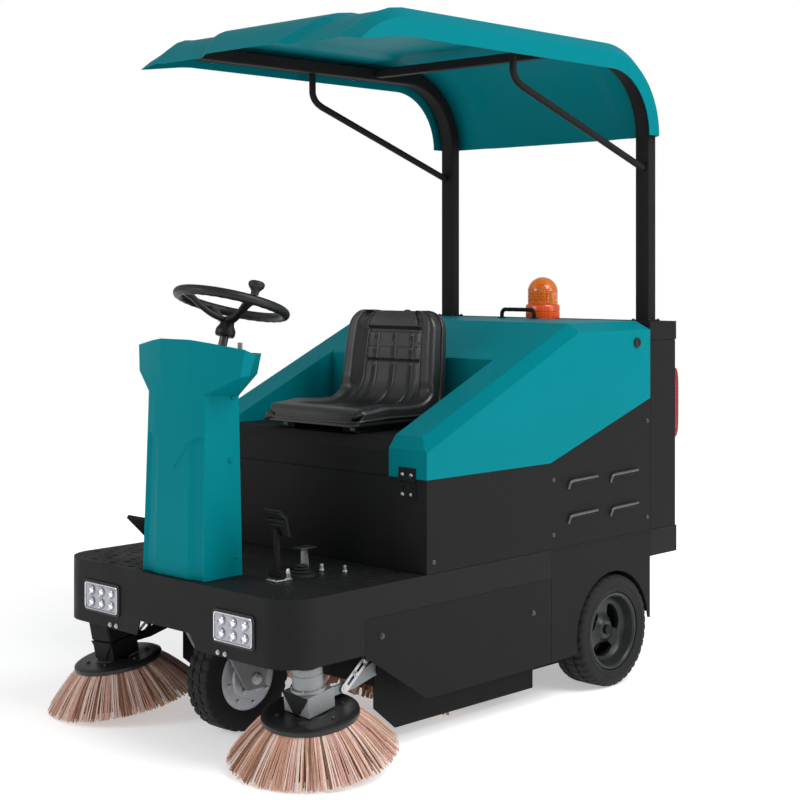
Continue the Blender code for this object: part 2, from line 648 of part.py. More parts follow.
def make_column():
    def ring(front, corner, rear, back):
        pts = [front, corner, rear, back]
        return [(-x, y, z) for x, y, z in pts[::-1]] + pts
    foot = DECK_TOP + GAP
    rows = [
        ring((0.085, 0.014, foot), (0.129, 0.024, foot), (0.120, 0.162, foot), (0.070, 0.188, foot)),
        ring((0.0755, 0.0266, 0.915), (0.1195, 0.0365, 0.930), (0.120, 0.150, 0.922), (0.070, 0.174, 0.905)),
        ring((0.0745, 0.0284, 0.985), (0.2132, 0.076, 0.979), (0.2132, 0.106, 0.981), (0.085, 0.245, 0.975)),
        ring((0.0727, 0.0304, 1.073), (0.224, 0.082, 1.050), (0.2215, 0.122, 1.036), (0.090, 0.255, 1.030))]
    cover = loft("column_cover", rows, TEAL, closed=True)
    outward = sum(face.normal.dot(face.center - Vector((0.0, 0.11, face.center.z))) for face in cover.data.polygons)
    solidify(cover, 0.003, -1.0 if outward > 0 else 1.0)

    work = bmesh.new()
    edge = [(0.062, 0.048), (0.203, 0.094), (0.203, 0.116), (0.082, 0.240)]
    edge = [(-x, y) for x, y in edge[::-1]] + edge
    top = [work.verts.new((x, y, 1.0545 - 0.12 * y)) for x, y in edge]
    low = [work.verts.new((x * 0.985, 0.11 + (y - 0.11) * 0.985, 1.0465 - 0.12 * y)) for x, y in edge]
    work.faces.new(top)
    work.faces.new(low[::-1])
    for i in range(len(edge)):
        j = (i + 1) % len(edge)
        work.faces.new((top[j], top[i], low[i], low[j]))
    dash = from_bmesh("dash_panel", work, BLACK)
    bore = cylinder("shaft_bore", 0.017, 0.2, (0.0, 0.189, 1.035), "z", None)
    bore.rotation_euler = (-HELM_TILT, 0.0, 0.0)
    key_hole = cylinder("key_hole", 0.0065, 0.06, (0.060, 0.206, 1.03), "z", None, sides=16)
    cut(dash, bore, key_hole)


def make_steering():
    helm = axis_empty("helm_axis", HELM_CENTRE, (-HELM_TILT, 0.0, 0.0))
    work = bmesh.new()
    steps, sides = 32, 8
    grid = []
    for i in range(steps):
        a = 2 * math.pi * i / steps
        grid.append([work.verts.new(((HELM_RADIUS + HELM_TUBE * math.cos(b)) * math.cos(a),
                                     (HELM_RADIUS + HELM_TUBE * math.cos(b)) * math.sin(a),
                                     HELM_TUBE * math.sin(b)))
                     for b in (2 * math.pi * j / sides for j in range(sides))])
    for i in range(steps):
        for j in range(sides):
            k, m = (i + 1) % steps, (j + 1) % sides
            work.faces.new((grid[i][j], grid[k][j], grid[k][m], grid[i][m]))
    wheel = from_bmesh("steering_wheel", work, BLACK, parent=helm)
    hub = turned("hub", [(0.0, -0.038), (0.015, -0.038), (0.018, -0.046), (0.020, -0.062), (0.027, -0.074),
                         (0.0275, -0.088), (0.024, -0.092), (0.0, -0.092)], None, parent=helm)
    spokes = []
    for heading in (71.0, -19.0, -109.0):
        a = math.radians(heading)
        along = Vector((math.sin(a), -math.cos(a), 0.0))
        spokes.append(round_bar("spoke", [tuple(along * r + Vector((0, 0, z)))
                                          for r, z in ((0.006, -0.052), (0.060, -0.040), (0.110, -0.006),
                                                       (HELM_RADIUS - 0.001, 0.0))],
                                0.0085, None, parent=helm))
    join(wheel, hub, *spokes)
    smooth(wheel, 50.0)
    shaft = turned("steering_shaft", [(0.0, -0.0925), (0.0125, -0.0925), (0.0125, -0.301), (0.0, -0.301)],
                   STEEL, parent=helm, steps=24)
    a = math.radians(72.0)
    knob_axis = empty("knob_axis", (HELM_RADIUS * math.sin(a), -HELM_RADIUS * math.cos(a), HELM_TUBE + 0.0006),
                      parent=helm)
    turned("steering_knob", [(0.0, 0.0385), (0.015, 0.0375), (0.0210, 0.034), (0.0225, 0.028), (0.0215, 0.021),
                             (0.015, 0.014), (0.0115, 0.006), (0.0115, 0.0), (0.0, 0.0)],
           BLACK, parent=knob_axis, steps=24)

    gearbox = box("steering_gearbox", (-0.045, 0.045), (0.085, 0.155), (0.795, 0.864), CAST)
    join(gearbox, box("pedestal", (-0.040, 0.040), (0.052, 0.098), (DECK_TOP + GAP, 0.800), None))

    key_axis = axis_empty("key_axis", (0.060, 0.206, 1.032))
    key = cylinder("ignition_key", 0.006, 0.020, (0.0, 0.0, -0.008), "z", STEEL, parent=key_axis, sides=16)
    collar = cylinder("collar", 0.009, 0.004, (0.0, 0.0, 0.0035), "z", None, parent=key_axis, sides=16)
    bow = box("bow", (-0.009, 0.009), (-0.002, 0.002), (0.004, 0.028), None, parent=key_axis)
    join(key, collar, bow)


def make_front_wheel():
    steer = axis_empty("steer_axis", (0.0, FORK_Y, DECK_TOP))
    drop = -DECK_TOP
    fork = cylinder("front_fork", 0.020, 0.170, (0.0, 0.0, 0.405 + drop), "z", CAST, parent=steer)
    pieces = [box("crown", (-0.078, 0.078), (-0.035, 0.150), (0.316 + drop, 0.336 + drop), None, parent=steer),
              cylinder("bearing", 0.045, 0.090, (0.0, 0.0, 0.380 + drop), "z", None, parent=steer)]
    reach = FRONT_WHEEL_Y - FORK_Y
    for _, s in SIDES:
        pieces.append(plate("leg", [(reach - 0.032, FRONT_RADIUS - 0.028 + drop),
                                    (reach + 0.032, FRONT_RADIUS - 0.028 + drop),
                                    (reach + 0.032, 0.335 + drop), (-0.030, 0.335 + drop), (-0.030, 0.317 + drop)],
                            "yz", *span(s, 0.066, 0.077), None, parent=steer))
    pieces.append(cylinder("axle", 0.010, 0.140, (0.0, reach, FRONT_RADIUS + drop), "x", None, parent=steer))
    join(fork, *pieces)
    wheel = empty("front_wheel_axis", (0.0, reach, FRONT_RADIUS + drop), parent=steer)
    turn = (0.0, math.pi / 2, 0.0)
    hub = turned("front_hub_motor",
                 [(0.0106, 0.058), (0.060, 0.058), (0.066, 0.050), (0.092, 0.043), (0.092, -0.043),
                  (0.066, -0.050), (0.060, -0.058), (0.0106, -0.058)], STEEL, parent=wheel, rotation=turn,
                 closed=True, steps=32)
    bolts = [cylinder("bolt", 0.008, 0.010, (s * 0.056, 0.040 * math.cos(a), 0.040 * math.sin(a)), "x", None,
                      parent=wheel, sides=6)
             for s in (1.0, -1.0) for a in (math.radians(72.0 * i + 18.0) for i in range(5))]
    join(hub, *bolts)
    turned("front_tyre", [(0.0924, 0.043), (0.130, 0.045), (0.146, 0.040), (0.150, 0.030), (0.150, -0.030),
                          (0.146, -0.040), (0.130, -0.045), (0.0924, -0.043)], RUBBER, parent=wheel,
           rotation=turn, closed=True, steps=32)


# Rear wheels

def make_rear_wheels():
    for name, s in SIDES:
        centre = s * (WHEEL_OUTER_X - WHEEL_WIDTH / 2)
        wheel = axis_empty("rear_wheel_axis_" + name, (centre, WHEEL_Y, WHEEL_RADIUS))
        turn = (0.0, s * math.pi / 2, 0.0)
        half = WHEEL_WIDTH / 2
        rim = turned("rear_rim_" + name,
                     [(0.0146, 0.020), (0.035, 0.020), (0.050, 0.006), (0.095, 0.010), (0.103, half - 0.006),
                      (0.116, half - 0.004), (0.116, -half + 0.004), (0.103, -half + 0.004), (0.095, -0.004),
                      (0.050, -0.008), (0.035, -0.022), (0.0146, -0.022)], BLACK, parent=wheel,
                     rotation=turn, closed=True, steps=32)
        holes = [cylinder("vent", 0.011, 0.08, (0.0, 0.074 * math.cos(a), 0.074 * math.sin(a)), "x", None,
                          parent=wheel, sides=12)
                 for a in (math.radians(60.0 * i + 8.0) for i in range(6))]
        cut(rim, *holes)
        turned("rear_tyre_" + name,
               [(0.1164, half - 0.004), (0.145, half), (0.159, half - 0.006), (WHEEL_RADIUS, half - 0.018),
                (WHEEL_RADIUS, -half + 0.018), (0.159, -half + 0.006), (0.145, -half), (0.1164, -half + 0.004)],
               RUBBER, parent=wheel, rotation=turn, closed=True, steps=32)


# Sweeping gear

def make_main_brush():
    outline = arc((BROOM_Y, BROOM_Z), 0.156, -8.0, 200.0, 18) + arc((BROOM_Y, BROOM_Z), 0.152, 200.0, -8.0, 18)
    mounting = DECK_TOP - DECK_PLATE - GAP
    housing = plate("brush_housing", outline, "yz", -0.3965, 0.3965, BLACK)
    cheeks = [plate("cheek", [(0.374, 0.105), (0.455, 0.038), (1.034, 0.035), (1.034, 0.250), (0.830, 0.315),
                              (0.830, mounting), (0.600, mounting), (0.600, 0.315), (0.374, 0.215)], "yz", *span(s, 0.396, 0.400), None)
              for _, s in SIDES]
    join(housing, *cheeks)
    broom_axis = axis_empty("main_brush_axis", (0.0, BROOM_Y, BROOM_Z))
    brush = cylinder("main_brush", BROOM_RADIUS, 2 * BROOM_HALF, (0.0, 0.0, 0.0), "x", BRISTLE, parent=broom_axis,
                     sides=32)
    join(brush, cylinder("journal", 0.012, 0.7910, (0.0, 0.0, 0.0), "x", None, parent=broom_axis, sides=16))


def make_side_brushes():
    for name, s in SIDES:
        pivot = axis_empty("side_brush_lift_" + name, (s * 0.4225, LIFT_Y, LIFT_Z))
        lean = Vector((s * math.sin(BRUSH_LEAN), -math.cos(BRUSH_LEAN), 0.0)) * math.sin(BRUSH_TILT)
        normal = Vector((lean.x, lean.y, math.cos(BRUSH_TILT)))
        tilt = Vector((0.0, 0.0, 1.0)).rotation_difference(normal).to_euler()
        spin = empty("side_brush_axis_" + name, Vector((s * BRUSH_X, BRUSH_Y, BRUSH_Z)) - pivot.location, tilt,
                     parent=pivot)
        disc = turned("side_brush_plate_" + name,
                      [(0.0, 0.0115), (0.016, 0.0115), (0.020, 0.008), (0.108, 0.008), (BRUSH_PLATE_RADIUS, 0.002),
                       (BRUSH_PLATE_RADIUS, -0.007), (0.0, -0.007)], BRISTLE, parent=spin, steps=32)
        turned("side_brush_bristles_" + name,
               [(0.102, -0.0074), (0.124, -0.0074), (0.154, -0.047), (0.193, -0.084),
                (BRUSH_TIP_RADIUS, -BRISTLE_DROP), (0.194, -BRISTLE_DROP), (0.152, -0.077), (0.116, -0.040)],
               BRISTLE, parent=spin, closed=True, steps=32)
        arm = box("side_brush_arm_" + name, (-0.045, 0.045), (-0.045, 0.045), (0.012, 0.064), CAST, parent=spin)
        bring_up(arm, spin)
        strap = plate("strap", [(-0.205, -0.052), (-0.100, -0.044), (0.006, -0.018), (0.018, -0.006), (0.018, 0.010),
                                (0.006, 0.020), (-0.012, 0.020), (-0.112, -0.020), (-0.205, -0.030)],
                      "yz", -0.004, 0.004, None, parent=pivot)
        eye = cylinder("eye", 0.0084, 0.03, (0.0, 0.0, 0.0), "x", None, parent=pivot, sides=20)
        join(arm, strap)
        cut(arm, eye)
        if s > 0:
            motor = turned("side_brush_motor_left",
                           [(0.0, 0.132), (0.036, 0.132), (0.040, 0.128), (0.040, 0.072), (0.046, 0.070),
                            (0.046, 0.0644), (0.0, 0.0644)], CAST, parent=spin, steps=32)
        else:
            motor = box("side_brush_motor_right", (-0.046, 0.046), (-0.048, 0.048), (0.0644, 0.140), BLACK,
                        parent=spin)
            round_edges(motor, 0.006)
        bring_up(motor, spin)


def bring_up(item, spin):
    """Move a piece drawn on a brush's spindle to the lifting arm that carries the spindle."""
    settle(item)
    bpy.context.view_layer.update()
    item.data.transform(spin.matrix_local)
    adopt(item, spin.parent)
    item.matrix_local = Matrix.Identity(4)
    return item


# Lamps, pedals and what is inside

def make_headlights():
    for name, s in SIDES:
        lamp = box("headlight_" + name, span(s, 0.198, 0.359), (-0.0075, -GAP), (0.312, 0.399), CLEAR_LENS)
        round_edges(lamp, 0.003)
        pocket = box("pocket", span(s, 0.207, 0.350), (-0.02, -0.0035), (0.321, 0.390), None)
        cut(lamp, pocket)
        body = box("lamp_body", span(s, 0.2065, 0.3515), (-0.002, 0.030), (0.316, 0.395), None)
        lenses = [cylinder("led", 0.0125, 0.003, (s * x, -0.0045, z), "y", None, sides=16)
                  for x in (0.233, 0.2785, 0.324) for z in (0.339, 0.372)]
        join(lamp, body, *lenses)


def make_pedals():
    pedal_axis = axis_empty("accelerator_axis", (-0.250, 0.205, 0.4620))
    accelerator = plate("accelerator_pedal", [(-0.118, 0.102), (-0.112, 0.110), (-0.104, 0.108), (0.006, 0.006),
                                              (0.006, -0.004), (-0.004, -0.006)], "yz", -0.038, 0.038, BLACK,
                        parent=pedal_axis)
    rod_axis = axis_empty("brake_axis", (0.248, 0.175, 0.4650))
    brake = box("brake_pedal", (-0.007, 0.007), (-0.012, 0.0), (-0.008, 0.120), BLACK, parent=rod_axis)
    pad = plate("pad", [(0.004, 0.100), (0.012, 0.100), (0.000, 0.152), (-0.022, 0.168), (-0.030, 0.162),
                        (-0.008, 0.146)], "yz", -0.035, 0.035, None, parent=rod_axis)
    foot = cylinder("foot", 0.010, 0.050, (0.0, -0.003, 0.0), "x", None, parent=rod_axis, sides=16)
    join(brake, pad, foot)


def make_insides():
    tray = box("dust_hopper", (-0.334, 0.334), (1.046, 1.600), (0.060, 0.355), BLACK)
    well = box("hopper_well", (-0.330, 0.330), (1.050, 1.596), (0.064, 0.40), None)
    mouth = box("hopper_mouth", (-0.330, 0.330), (1.0, 1.06), (0.110, 0.300), None)
    cut(tray, well, mouth)
    battery = box("battery_pack", (-0.300, 0.300), (0.560, 0.900), (DECK_TOP + GAP, 0.680), CASING)
    round_edges(battery, 0.006, 1)


make_chassis()
make_lower_panels()
make_body()
make_rear_box()
make_hood()
make_shelf_and_seat()
make_hinges()
make_hood_fittings()
make_beacon()
make_canopy_frame()
make_canopy_roof()
make_column()
make_steering()
make_front_wheel()
make_rear_wheels()
make_main_brush()
make_side_brushes()
make_headlights()
make_pedals()
make_insides()

for tool in list(cutters.objects):
    bpy.data.objects.remove(tool, do_unlink=True)
bpy.data.collections.remove(cutters)
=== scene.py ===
"""Looks for the ride-on sweeper: finished surfaces, soft seat, bristles, lamps and fasteners."""
import json
import math
import random

import bmesh
import bpy
from mathutils import Matrix, Vector

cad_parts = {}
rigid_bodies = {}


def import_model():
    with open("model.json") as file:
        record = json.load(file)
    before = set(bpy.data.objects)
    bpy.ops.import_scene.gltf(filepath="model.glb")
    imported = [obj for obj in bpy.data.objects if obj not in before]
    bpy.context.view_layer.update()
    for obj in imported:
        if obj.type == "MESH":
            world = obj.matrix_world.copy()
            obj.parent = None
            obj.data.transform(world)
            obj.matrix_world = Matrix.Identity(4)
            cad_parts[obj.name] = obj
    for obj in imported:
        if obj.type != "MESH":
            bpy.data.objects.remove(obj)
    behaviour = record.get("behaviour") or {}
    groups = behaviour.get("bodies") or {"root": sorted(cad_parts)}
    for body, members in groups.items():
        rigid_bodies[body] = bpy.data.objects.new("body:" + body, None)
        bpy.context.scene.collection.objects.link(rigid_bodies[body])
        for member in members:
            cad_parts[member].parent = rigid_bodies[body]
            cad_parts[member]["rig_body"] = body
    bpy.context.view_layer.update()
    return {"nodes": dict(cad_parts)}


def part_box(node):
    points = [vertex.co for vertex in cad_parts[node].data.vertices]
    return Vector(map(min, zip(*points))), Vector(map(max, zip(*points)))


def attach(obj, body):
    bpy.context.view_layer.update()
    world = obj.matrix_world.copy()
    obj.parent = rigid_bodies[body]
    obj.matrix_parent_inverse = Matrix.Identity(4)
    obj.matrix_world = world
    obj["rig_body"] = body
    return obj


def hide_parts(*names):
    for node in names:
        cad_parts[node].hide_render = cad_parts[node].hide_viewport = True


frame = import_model()
nodes = frame["nodes"]
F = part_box("chassis_deck")[0].y          # the deck's front face: lengths here are measured back from it
rng = random.Random(7)
SIDES = (("left", 1.0), ("right", -1.0))


# ---------------------------------------------------------------- materials

def new_material(name):
    """An empty node material: the material, its node tree and its shader."""
    made = bpy.data.materials.new(name)
    made.use_nodes = True
    tree = made.node_tree
    shader = tree.nodes["Principled BSDF"]
    return made, tree, shader


def surface(name, dark, light, rough=(0.4, 0.5), metallic=0.0, tone_scale=6.0, bump=None, coat=0.0,
            coat_rough=0.1,
            specular=0.5, second=None):
    """A surface whose colour and roughness drift between two values, with fine relief.

    bump is (scale, strength, kind); second adds a finer or coarser layer of relief."""
    made, tree, shader = new_material(name)
    link = tree.links.new
    where = tree.nodes.new("ShaderNodeTexCoord")
    drift = tree.nodes.new("ShaderNodeTexNoise")
    drift.inputs["Scale"].default_value = tone_scale
    drift.inputs["Detail"].default_value = 5.0
    link(where.outputs["Object"], drift.inputs["Vector"])
    mix = tree.nodes.new("ShaderNodeMix")
    mix.data_type = "RGBA"
    mix.inputs[6].default_value = (*dark, 1.0)
    mix.inputs[7].default_value = (*light, 1.0)
    link(drift.outputs["Fac"], mix.inputs[0])
    link(mix.outputs[2], shader.inputs["Base Color"])
    span = tree.nodes.new("ShaderNodeMapRange")
    span.inputs["From Min"].default_value = 0.3
    span.inputs["From Max"].default_value = 0.7
    span.inputs["To Min"].default_value = rough[0]
    span.inputs["To Max"].default_value = rough[1]
    link(drift.outputs["Fac"], span.inputs["Value"])
    link(span.outputs["Result"], shader.inputs["Roughness"])
    shader.inputs["Metallic"].default_value = metallic
    shader.inputs["Coat Weight"].default_value = coat
    shader.inputs["Coat Roughness"].default_value = coat_rough
    shader.inputs["Specular IOR Level"].default_value = specular
    previous = None
    for layer in (bump, second):
        if layer is None:
            continue
        scale, strength, kind = layer
        if kind == "voronoi":
            grain = tree.nodes.new("ShaderNodeTexVoronoi")
            out = grain.outputs["Distance"]
        else:
            grain = tree.nodes.new("ShaderNodeTexNoise")
            grain.inputs["Detail"].default_value = 6.0
            out = grain.outputs["Fac"]
        grain.inputs["Scale"].default_value = scale
        link(where.outputs["Object"], grain.inputs["Vector"])
        relief = tree.nodes.new("ShaderNodeBump")
        relief.inputs["Strength"].default_value = strength
        relief.inputs["Distance"].default_value = 0.001
        link(out, relief.inputs["Height"])
        if previous is not None:
            link(previous.outputs["Normal"], relief.inputs["Normal"])
        previous = relief
    if previous is not None:
        link(previous.outputs["Normal"], shader.inputs["Normal"])
    return made


TEAL = surface("teal_gloss_paint", (0.0, 0.165, 0.194), (0.0, 0.182, 0.213), (0.36, 0.44), tone_scale=3.0,
               bump=(260.0, 0.03, "noise"), specular=0.03)
TEAL_ROOF = surface("teal_roof_sheet", (0.0, 0.152, 0.180), (0.0, 0.168, 0.198), (0.38, 0.48),
                    tone_scale=2.0,
                    bump=(190.0, 0.03, "noise"), specular=0.03)
BLACK = surface("black_powder_coat", (0.0110, 0.0110, 0.0112), (0.0155, 0.0155, 0.0158), (0.48, 0.60),
                tone_scale=9.0,
                bump=(1400.0, 0.10, "noise"), specular=0.06, second=(260.0, 0.04, "noise"))
DECK = surface("black_deck_coat", (0.0085, 0.0088, 0.0088), (0.0140, 0.0144, 0.0144), (0.44, 0.60),
               tone_scale=14.0,
               bump=(900.0, 0.16, "noise"), specular=0.10)
PLASTIC = surface("black_grained_plastic", (0.010, 0.010, 0.010), (0.015, 0.015, 0.0155), (0.38, 0.48),
                  tone_scale=20.0, bump=(700.0, 0.14, "voronoi"), specular=0.30)
VINYL = surface("black_seat_vinyl", (0.0105, 0.0105, 0.0108), (0.016, 0.016, 0.0165), (0.30, 0.40),
                tone_scale=16.0,
                bump=(420.0, 0.16, "voronoi"), specular=0.55, second=(1500.0, 0.08, "noise"))
PIPING = surface("black_seat_piping", (0.011, 0.011, 0.011), (0.015, 0.015, 0.015), (0.28, 0.36),
                 tone_scale=30.0,
                 bump=(900.0, 0.1, "noise"), specular=0.55)
RUBBER = surface("tyre_rubber", (0.0095, 0.0100, 0.0100), (0.0165, 0.0170, 0.0170), (0.62, 0.8),
                 tone_scale=18.0,
                 bump=(600.0, 0.22, "noise"), specular=0.20)
ZINC = surface("zinc_plated_steel", (0.40, 0.41, 0.42), (0.56, 0.57, 0.58), (0.28, 0.42), metallic=0.9,
               tone_scale=40.0, bump=(500.0, 0.08, "noise"))
CAST = surface("grey_cast_alloy", (0.20, 0.21, 0.22), (0.31, 0.32, 0.33), (0.42, 0.58), metallic=0.55,
               tone_scale=34.0, bump=(700.0, 0.3, "noise"))
BOLT = surface("dark_screw_steel", (0.05, 0.05, 0.052), (0.09, 0.09, 0.094), (0.30, 0.42), metallic=0.8,
               tone_scale=60.0, bump=(900.0, 0.1, "noise"))
# near-black: painted shade for the dark inside the louvre slots and the lock's key slot
SLOT_SHADE = surface("painted_slot_shade", (0.004, 0.004, 0.004), (0.006, 0.006, 0.006), (0.8, 0.9),
               bump=(300.0, 0.1, "noise"))
CASE_GREY = surface("battery_casing", (0.09, 0.09, 0.095), (0.12, 0.12, 0.125), (0.5, 0.6), tone_scale=12.0,
                    bump=(500.0, 0.15, "noise"))
RIM = surface("dark_wheel_rim", (0.012, 0.013, 0.013), (0.020, 0.022, 0.022), (0.28, 0.38), tone_scale=30.0,
              bump=(500.0, 0.1, "noise"), specular=0.28, coat=0.05)
# lighter grey than the black panel: painted highlight for the light the louvre lips catch, its tone drifting
# at random
LIP_HIGHLIGHT = surface("louvre_lip_painted_highlight", (0.045, 0.050, 0.052), (0.12, 0.13, 0.13), (0.30, 0.42), metallic=0.3,
              tone_scale=50.0,
              bump=(700.0, 0.1, "noise"))
HUB = surface("bright_hub_casting", (0.36, 0.38, 0.42), (0.52, 0.54, 0.58), (0.36, 0.50), metallic=0.6,
              tone_scale=30.0, bump=(500.0, 0.2, "noise"))
RED = surface("red_lamp_lens", (0.20, 0.003, 0.008), (0.27, 0.006, 0.013), (0.30, 0.38), tone_scale=10.0,
              bump=(160.0, 0.12, "voronoi"), coat=0.05, coat_rough=0.2, specular=0.15)
REFLECTOR = surface("lamp_reflector", (0.26, 0.26, 0.30), (0.46, 0.46, 0.50), (0.22, 0.38), metallic=0.8,
                    tone_scale=60.0,
                    bump=(220.0, 0.5, "voronoi"))
PLATE = surface("black_brush_plate", (0.011, 0.011, 0.011), (0.018, 0.018, 0.018), (0.30, 0.42),
                tone_scale=20.0,
                bump=(700.0, 0.1, "noise"), specular=0.35)
CHROME = surface("silver_reflector", (0.70, 0.71, 0.74), (0.84, 0.85, 0.88), (0.10, 0.2), metallic=0.95,
                 tone_scale=24.0, bump=(90.0, 0.08, "noise"))
BRISTLE_TONES = {
    "tan": ((0.42, 0.205, 0.125), (0.62, 0.36, 0.25)), "cream": ((0.62, 0.45, 0.38), (0.82, 0.66, 0.58)),
    "pink": ((0.52, 0.27, 0.22), (0.72, 0.43, 0.36)), "brown": ((0.17, 0.075, 0.045), (0.32, 0.16, 0.095)),
}
BRISTLE = {name: surface("bristle_" + name, low, high, (0.55, 0.7), tone_scale=70.0,
                         bump=(500.0, 0.2, "noise"),
                         specular=0.3)
           for name, (low, high) in BRISTLE_TONES.items()}


def lens_material(name, colour, transmission, rough):
    """A tinted, finely ribbed lens that lets a share of the light through."""
    made, tree, shader = new_material(name)
    ribs = tree.nodes.new("ShaderNodeTexWave")
    where = tree.nodes.new("ShaderNodeTexCoord")
    tree.links.new(where.outputs["Object"], ribs.inputs["Vector"])
    ribs.inputs["Scale"].default_value = 40.0
    ribs.inputs["Distortion"].default_value = 0.4
    relief = tree.nodes.new("ShaderNodeBump")
    relief.inputs["Strength"].default_value = 0.08
    relief.inputs["Distance"].default_value = 0.001
    tree.links.new(ribs.outputs["Fac"], relief.inputs["Height"])
    tree.links.new(relief.outputs["Normal"], shader.inputs["Normal"])
    mix = tree.nodes.new("ShaderNodeMix")
    mix.data_type = "RGBA"
    mix.inputs[6].default_value = (*[c * 0.85 for c in colour], 1.0)
    mix.inputs[7].default_value = (*colour, 1.0)
    tree.links.new(ribs.outputs["Fac"], mix.inputs[0])
    tree.links.new(mix.outputs[2], shader.inputs["Base Color"])
    shader.inputs["Roughness"].default_value = rough
    shader.inputs["Transmission Weight"].default_value = transmission
    shader.inputs["Coat Weight"].default_value = 0.5
    shader.inputs["Coat Roughness"].default_value = 0.05
    shader.inputs["IOR"].default_value = 1.45
    return made


AMBER = lens_material("amber_lens", (1.0, 0.235, 0.02), 0.35, 0.14)
AMBER_CORE = lens_material("amber_core", (0.9, 0.10, 0.005), 0.0, 0.3)
GLASS = lens_material("clear_lens", (0.95, 0.96, 1.0), 0.9, 0.06)


# ---------------------------------------------------------------- mesh helpers

def at(x, y, z):
    """A point given with its length measured back from the deck's front face."""
    return Vector((x, y + F, z))


def finish_mesh(name, work, look, body=None, angle=35.0, smooth=True, recalc=True):
    """Make an object of a bmesh, with its material and shading, and let it ride on its body."""
    if recalc:
        bmesh.ops.recalc_face_normals(work, faces=work.faces[:])
    mesh = bpy.data.meshes.new(name)
    work.to_mesh(mesh)
    work.free()
    made = bpy.data.objects.new(name, mesh)
    bpy.context.scene.collection.objects.link(made)
    mesh.materials.append(look)
    if smooth:
        mesh.shade_smooth()
        mesh.set_sharp_from_angle(angle=math.radians(angle))
    if body:
        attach(made, body)
    return made


def apply_all(item):
    """Apply the modifiers of an object."""
    bpy.context.view_layer.update()
    evaluated = item.evaluated_get(bpy.context.evaluated_depsgraph_get())
    mesh = bpy.data.meshes.new_from_object(evaluated)
    item.modifiers.clear()
    item.data = mesh
    return item


def node_body(node):
    """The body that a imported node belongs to."""
    return nodes[node]["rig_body"]


def around(centre, radius, height, count, start=0.0):
    """Points on a circle about the local Z of centre, a matrix, at a height along it."""
    turns = (math.radians(360.0 * k / count + start) for k in range(count))
    return [centre @ Vector((radius * math.cos(t), radius * math.sin(t), height)) for t in turns]


def around_axle(centre, radius, out, count, start=0.0):
    """Points on a circle about an axle along X, out from centre."""
    turns = (math.radians(360.0 * k / count + start) for k in range(count))
    return [centre + Vector((out, radius * math.cos(t), radius * math.sin(t))) for t in turns]


def crisp_edges(item, width, segments=2):
    """Round every edge of a small plain piece and keep its faces flat."""
    ease = item.modifiers.new("ease", "BEVEL")
    ease.width, ease.segments = width, segments
    apply_all(item)
    item.data.shade_smooth()
    item.data.set_sharp_from_angle(angle=math.radians(40))


def folded_sheet(item, thickness, offset, fold, fold_angle, sharp):
    """Turn an open sheet into folded metal: thickness on one side, then rounded folds."""
    thick = item.modifiers.new("sheet", "SOLIDIFY")
    thick.thickness = thickness
    thick.offset = offset
    thick.use_even_offset = True
    ease = item.modifiers.new("folds", "BEVEL")
    ease.width, ease.segments = fold, 3
    ease.limit_method = "ANGLE"
    ease.angle_limit = math.radians(fold_angle)
    ease.use_clamp_overlap = True
    apply_all(item)
    even_shading(item, sharp)


def even_shading(item, sharp=40.0):
    """Smooth shading in which large flat faces stay flat and only the rounded edges turn the light."""
    item.data.shade_smooth()
    item.data.set_sharp_from_angle(angle=math.radians(sharp))
    even = item.modifiers.new("even", "WEIGHTED_NORMAL")
    even.mode = "FACE_AREA"
    even.weight = 100
    even.keep_sharp = True
    apply_all(item)


def refine(node, look, width=0.0020, segments=2, angle=28.0, sharp=40.0):
    """A finished copy of a CAD node: flat faces made whole and edges rounded. It stands for the node."""
    work = bmesh.new()
    work.from_mesh(nodes[node].data)
    bmesh.ops.remove_doubles(work, verts=work.verts[:], dist=2e-5)
    bmesh.ops.dissolve_limit(work, angle_limit=math.radians(0.6), verts=work.verts[:], edges=work.edges[:])
    made = finish_mesh(node + "_finish", work, look, smooth=False, recalc=False)
    if width:
        bevel = made.modifiers.new("edges", "BEVEL")
        bevel.width = width
        bevel.segments = segments
        bevel.limit_method = "ANGLE"
        bevel.angle_limit = math.radians(angle)
        bevel.use_clamp_overlap = True
        bevel.harden_normals = False
        apply_all(made)
    even_shading(made, sharp)
    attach(made, node_body(node))
    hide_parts(node)
    return made


def tube(name, points, radius, look, body, sides=12, closed=False):
    """A round bar through points, on frames carried along it, with flat ends."""
    pts = [Vector(p) for p in points]
    work = bmesh.new()
    rings = []
    count = len(pts)
    side = None
    for i, point in enumerate(pts):
        before = pts[(i - 1) % count] if (closed or i > 0) else point
        after = pts[(i + 1) % count] if (closed or i < count - 1) else point
        along = (after - before).normalized()
        if side is None:
            side = along.orthogonal().normalized()
        side = (side - along * side.dot(along)).normalized()
        up = along.cross(side)
        rings.append([work.verts.new(point + (side * math.cos(a) + up * math.sin(a)) * radius)
                      for a in (2 * math.pi * k / sides for k in range(sides))])
    pairs = list(zip(rings, rings[1:]))
    if closed:
        pairs.append((rings[-1], rings[0]))
    for lower, upper in pairs:
        for k in range(sides):
            m = (k + 1) % sides
            work.faces.new((lower[k], lower[m], upper[m], upper[k]))
    if not closed:
        work.faces.new(rings[0][::-1])
        work.faces.new(rings[-1])
    return finish_mesh(name, work, look, body, angle=50.0)


def curve_points(points, per=8):
    """Points on a smooth curve through the given ones."""
    pts = [Vector(p) for p in points]
    out = []
    for i in range(len(pts) - 1):
        p0 = pts[max(0, i - 1)]
        p1, p2 = pts[i], pts[i + 1]
        p3 = pts[min(len(pts) - 1, i + 2)]
        for k in range(per):
            t = k / per
            out.append(0.5 * ((2 * p1) + (p2 - p0) * t + (2 * p0 - 5 * p1 + 4 * p2 - p3) * t * t
                              + (3 * p1 - p0 - 3 * p2 + p3) * t ** 3))
    out.append(pts[-1])
    return out


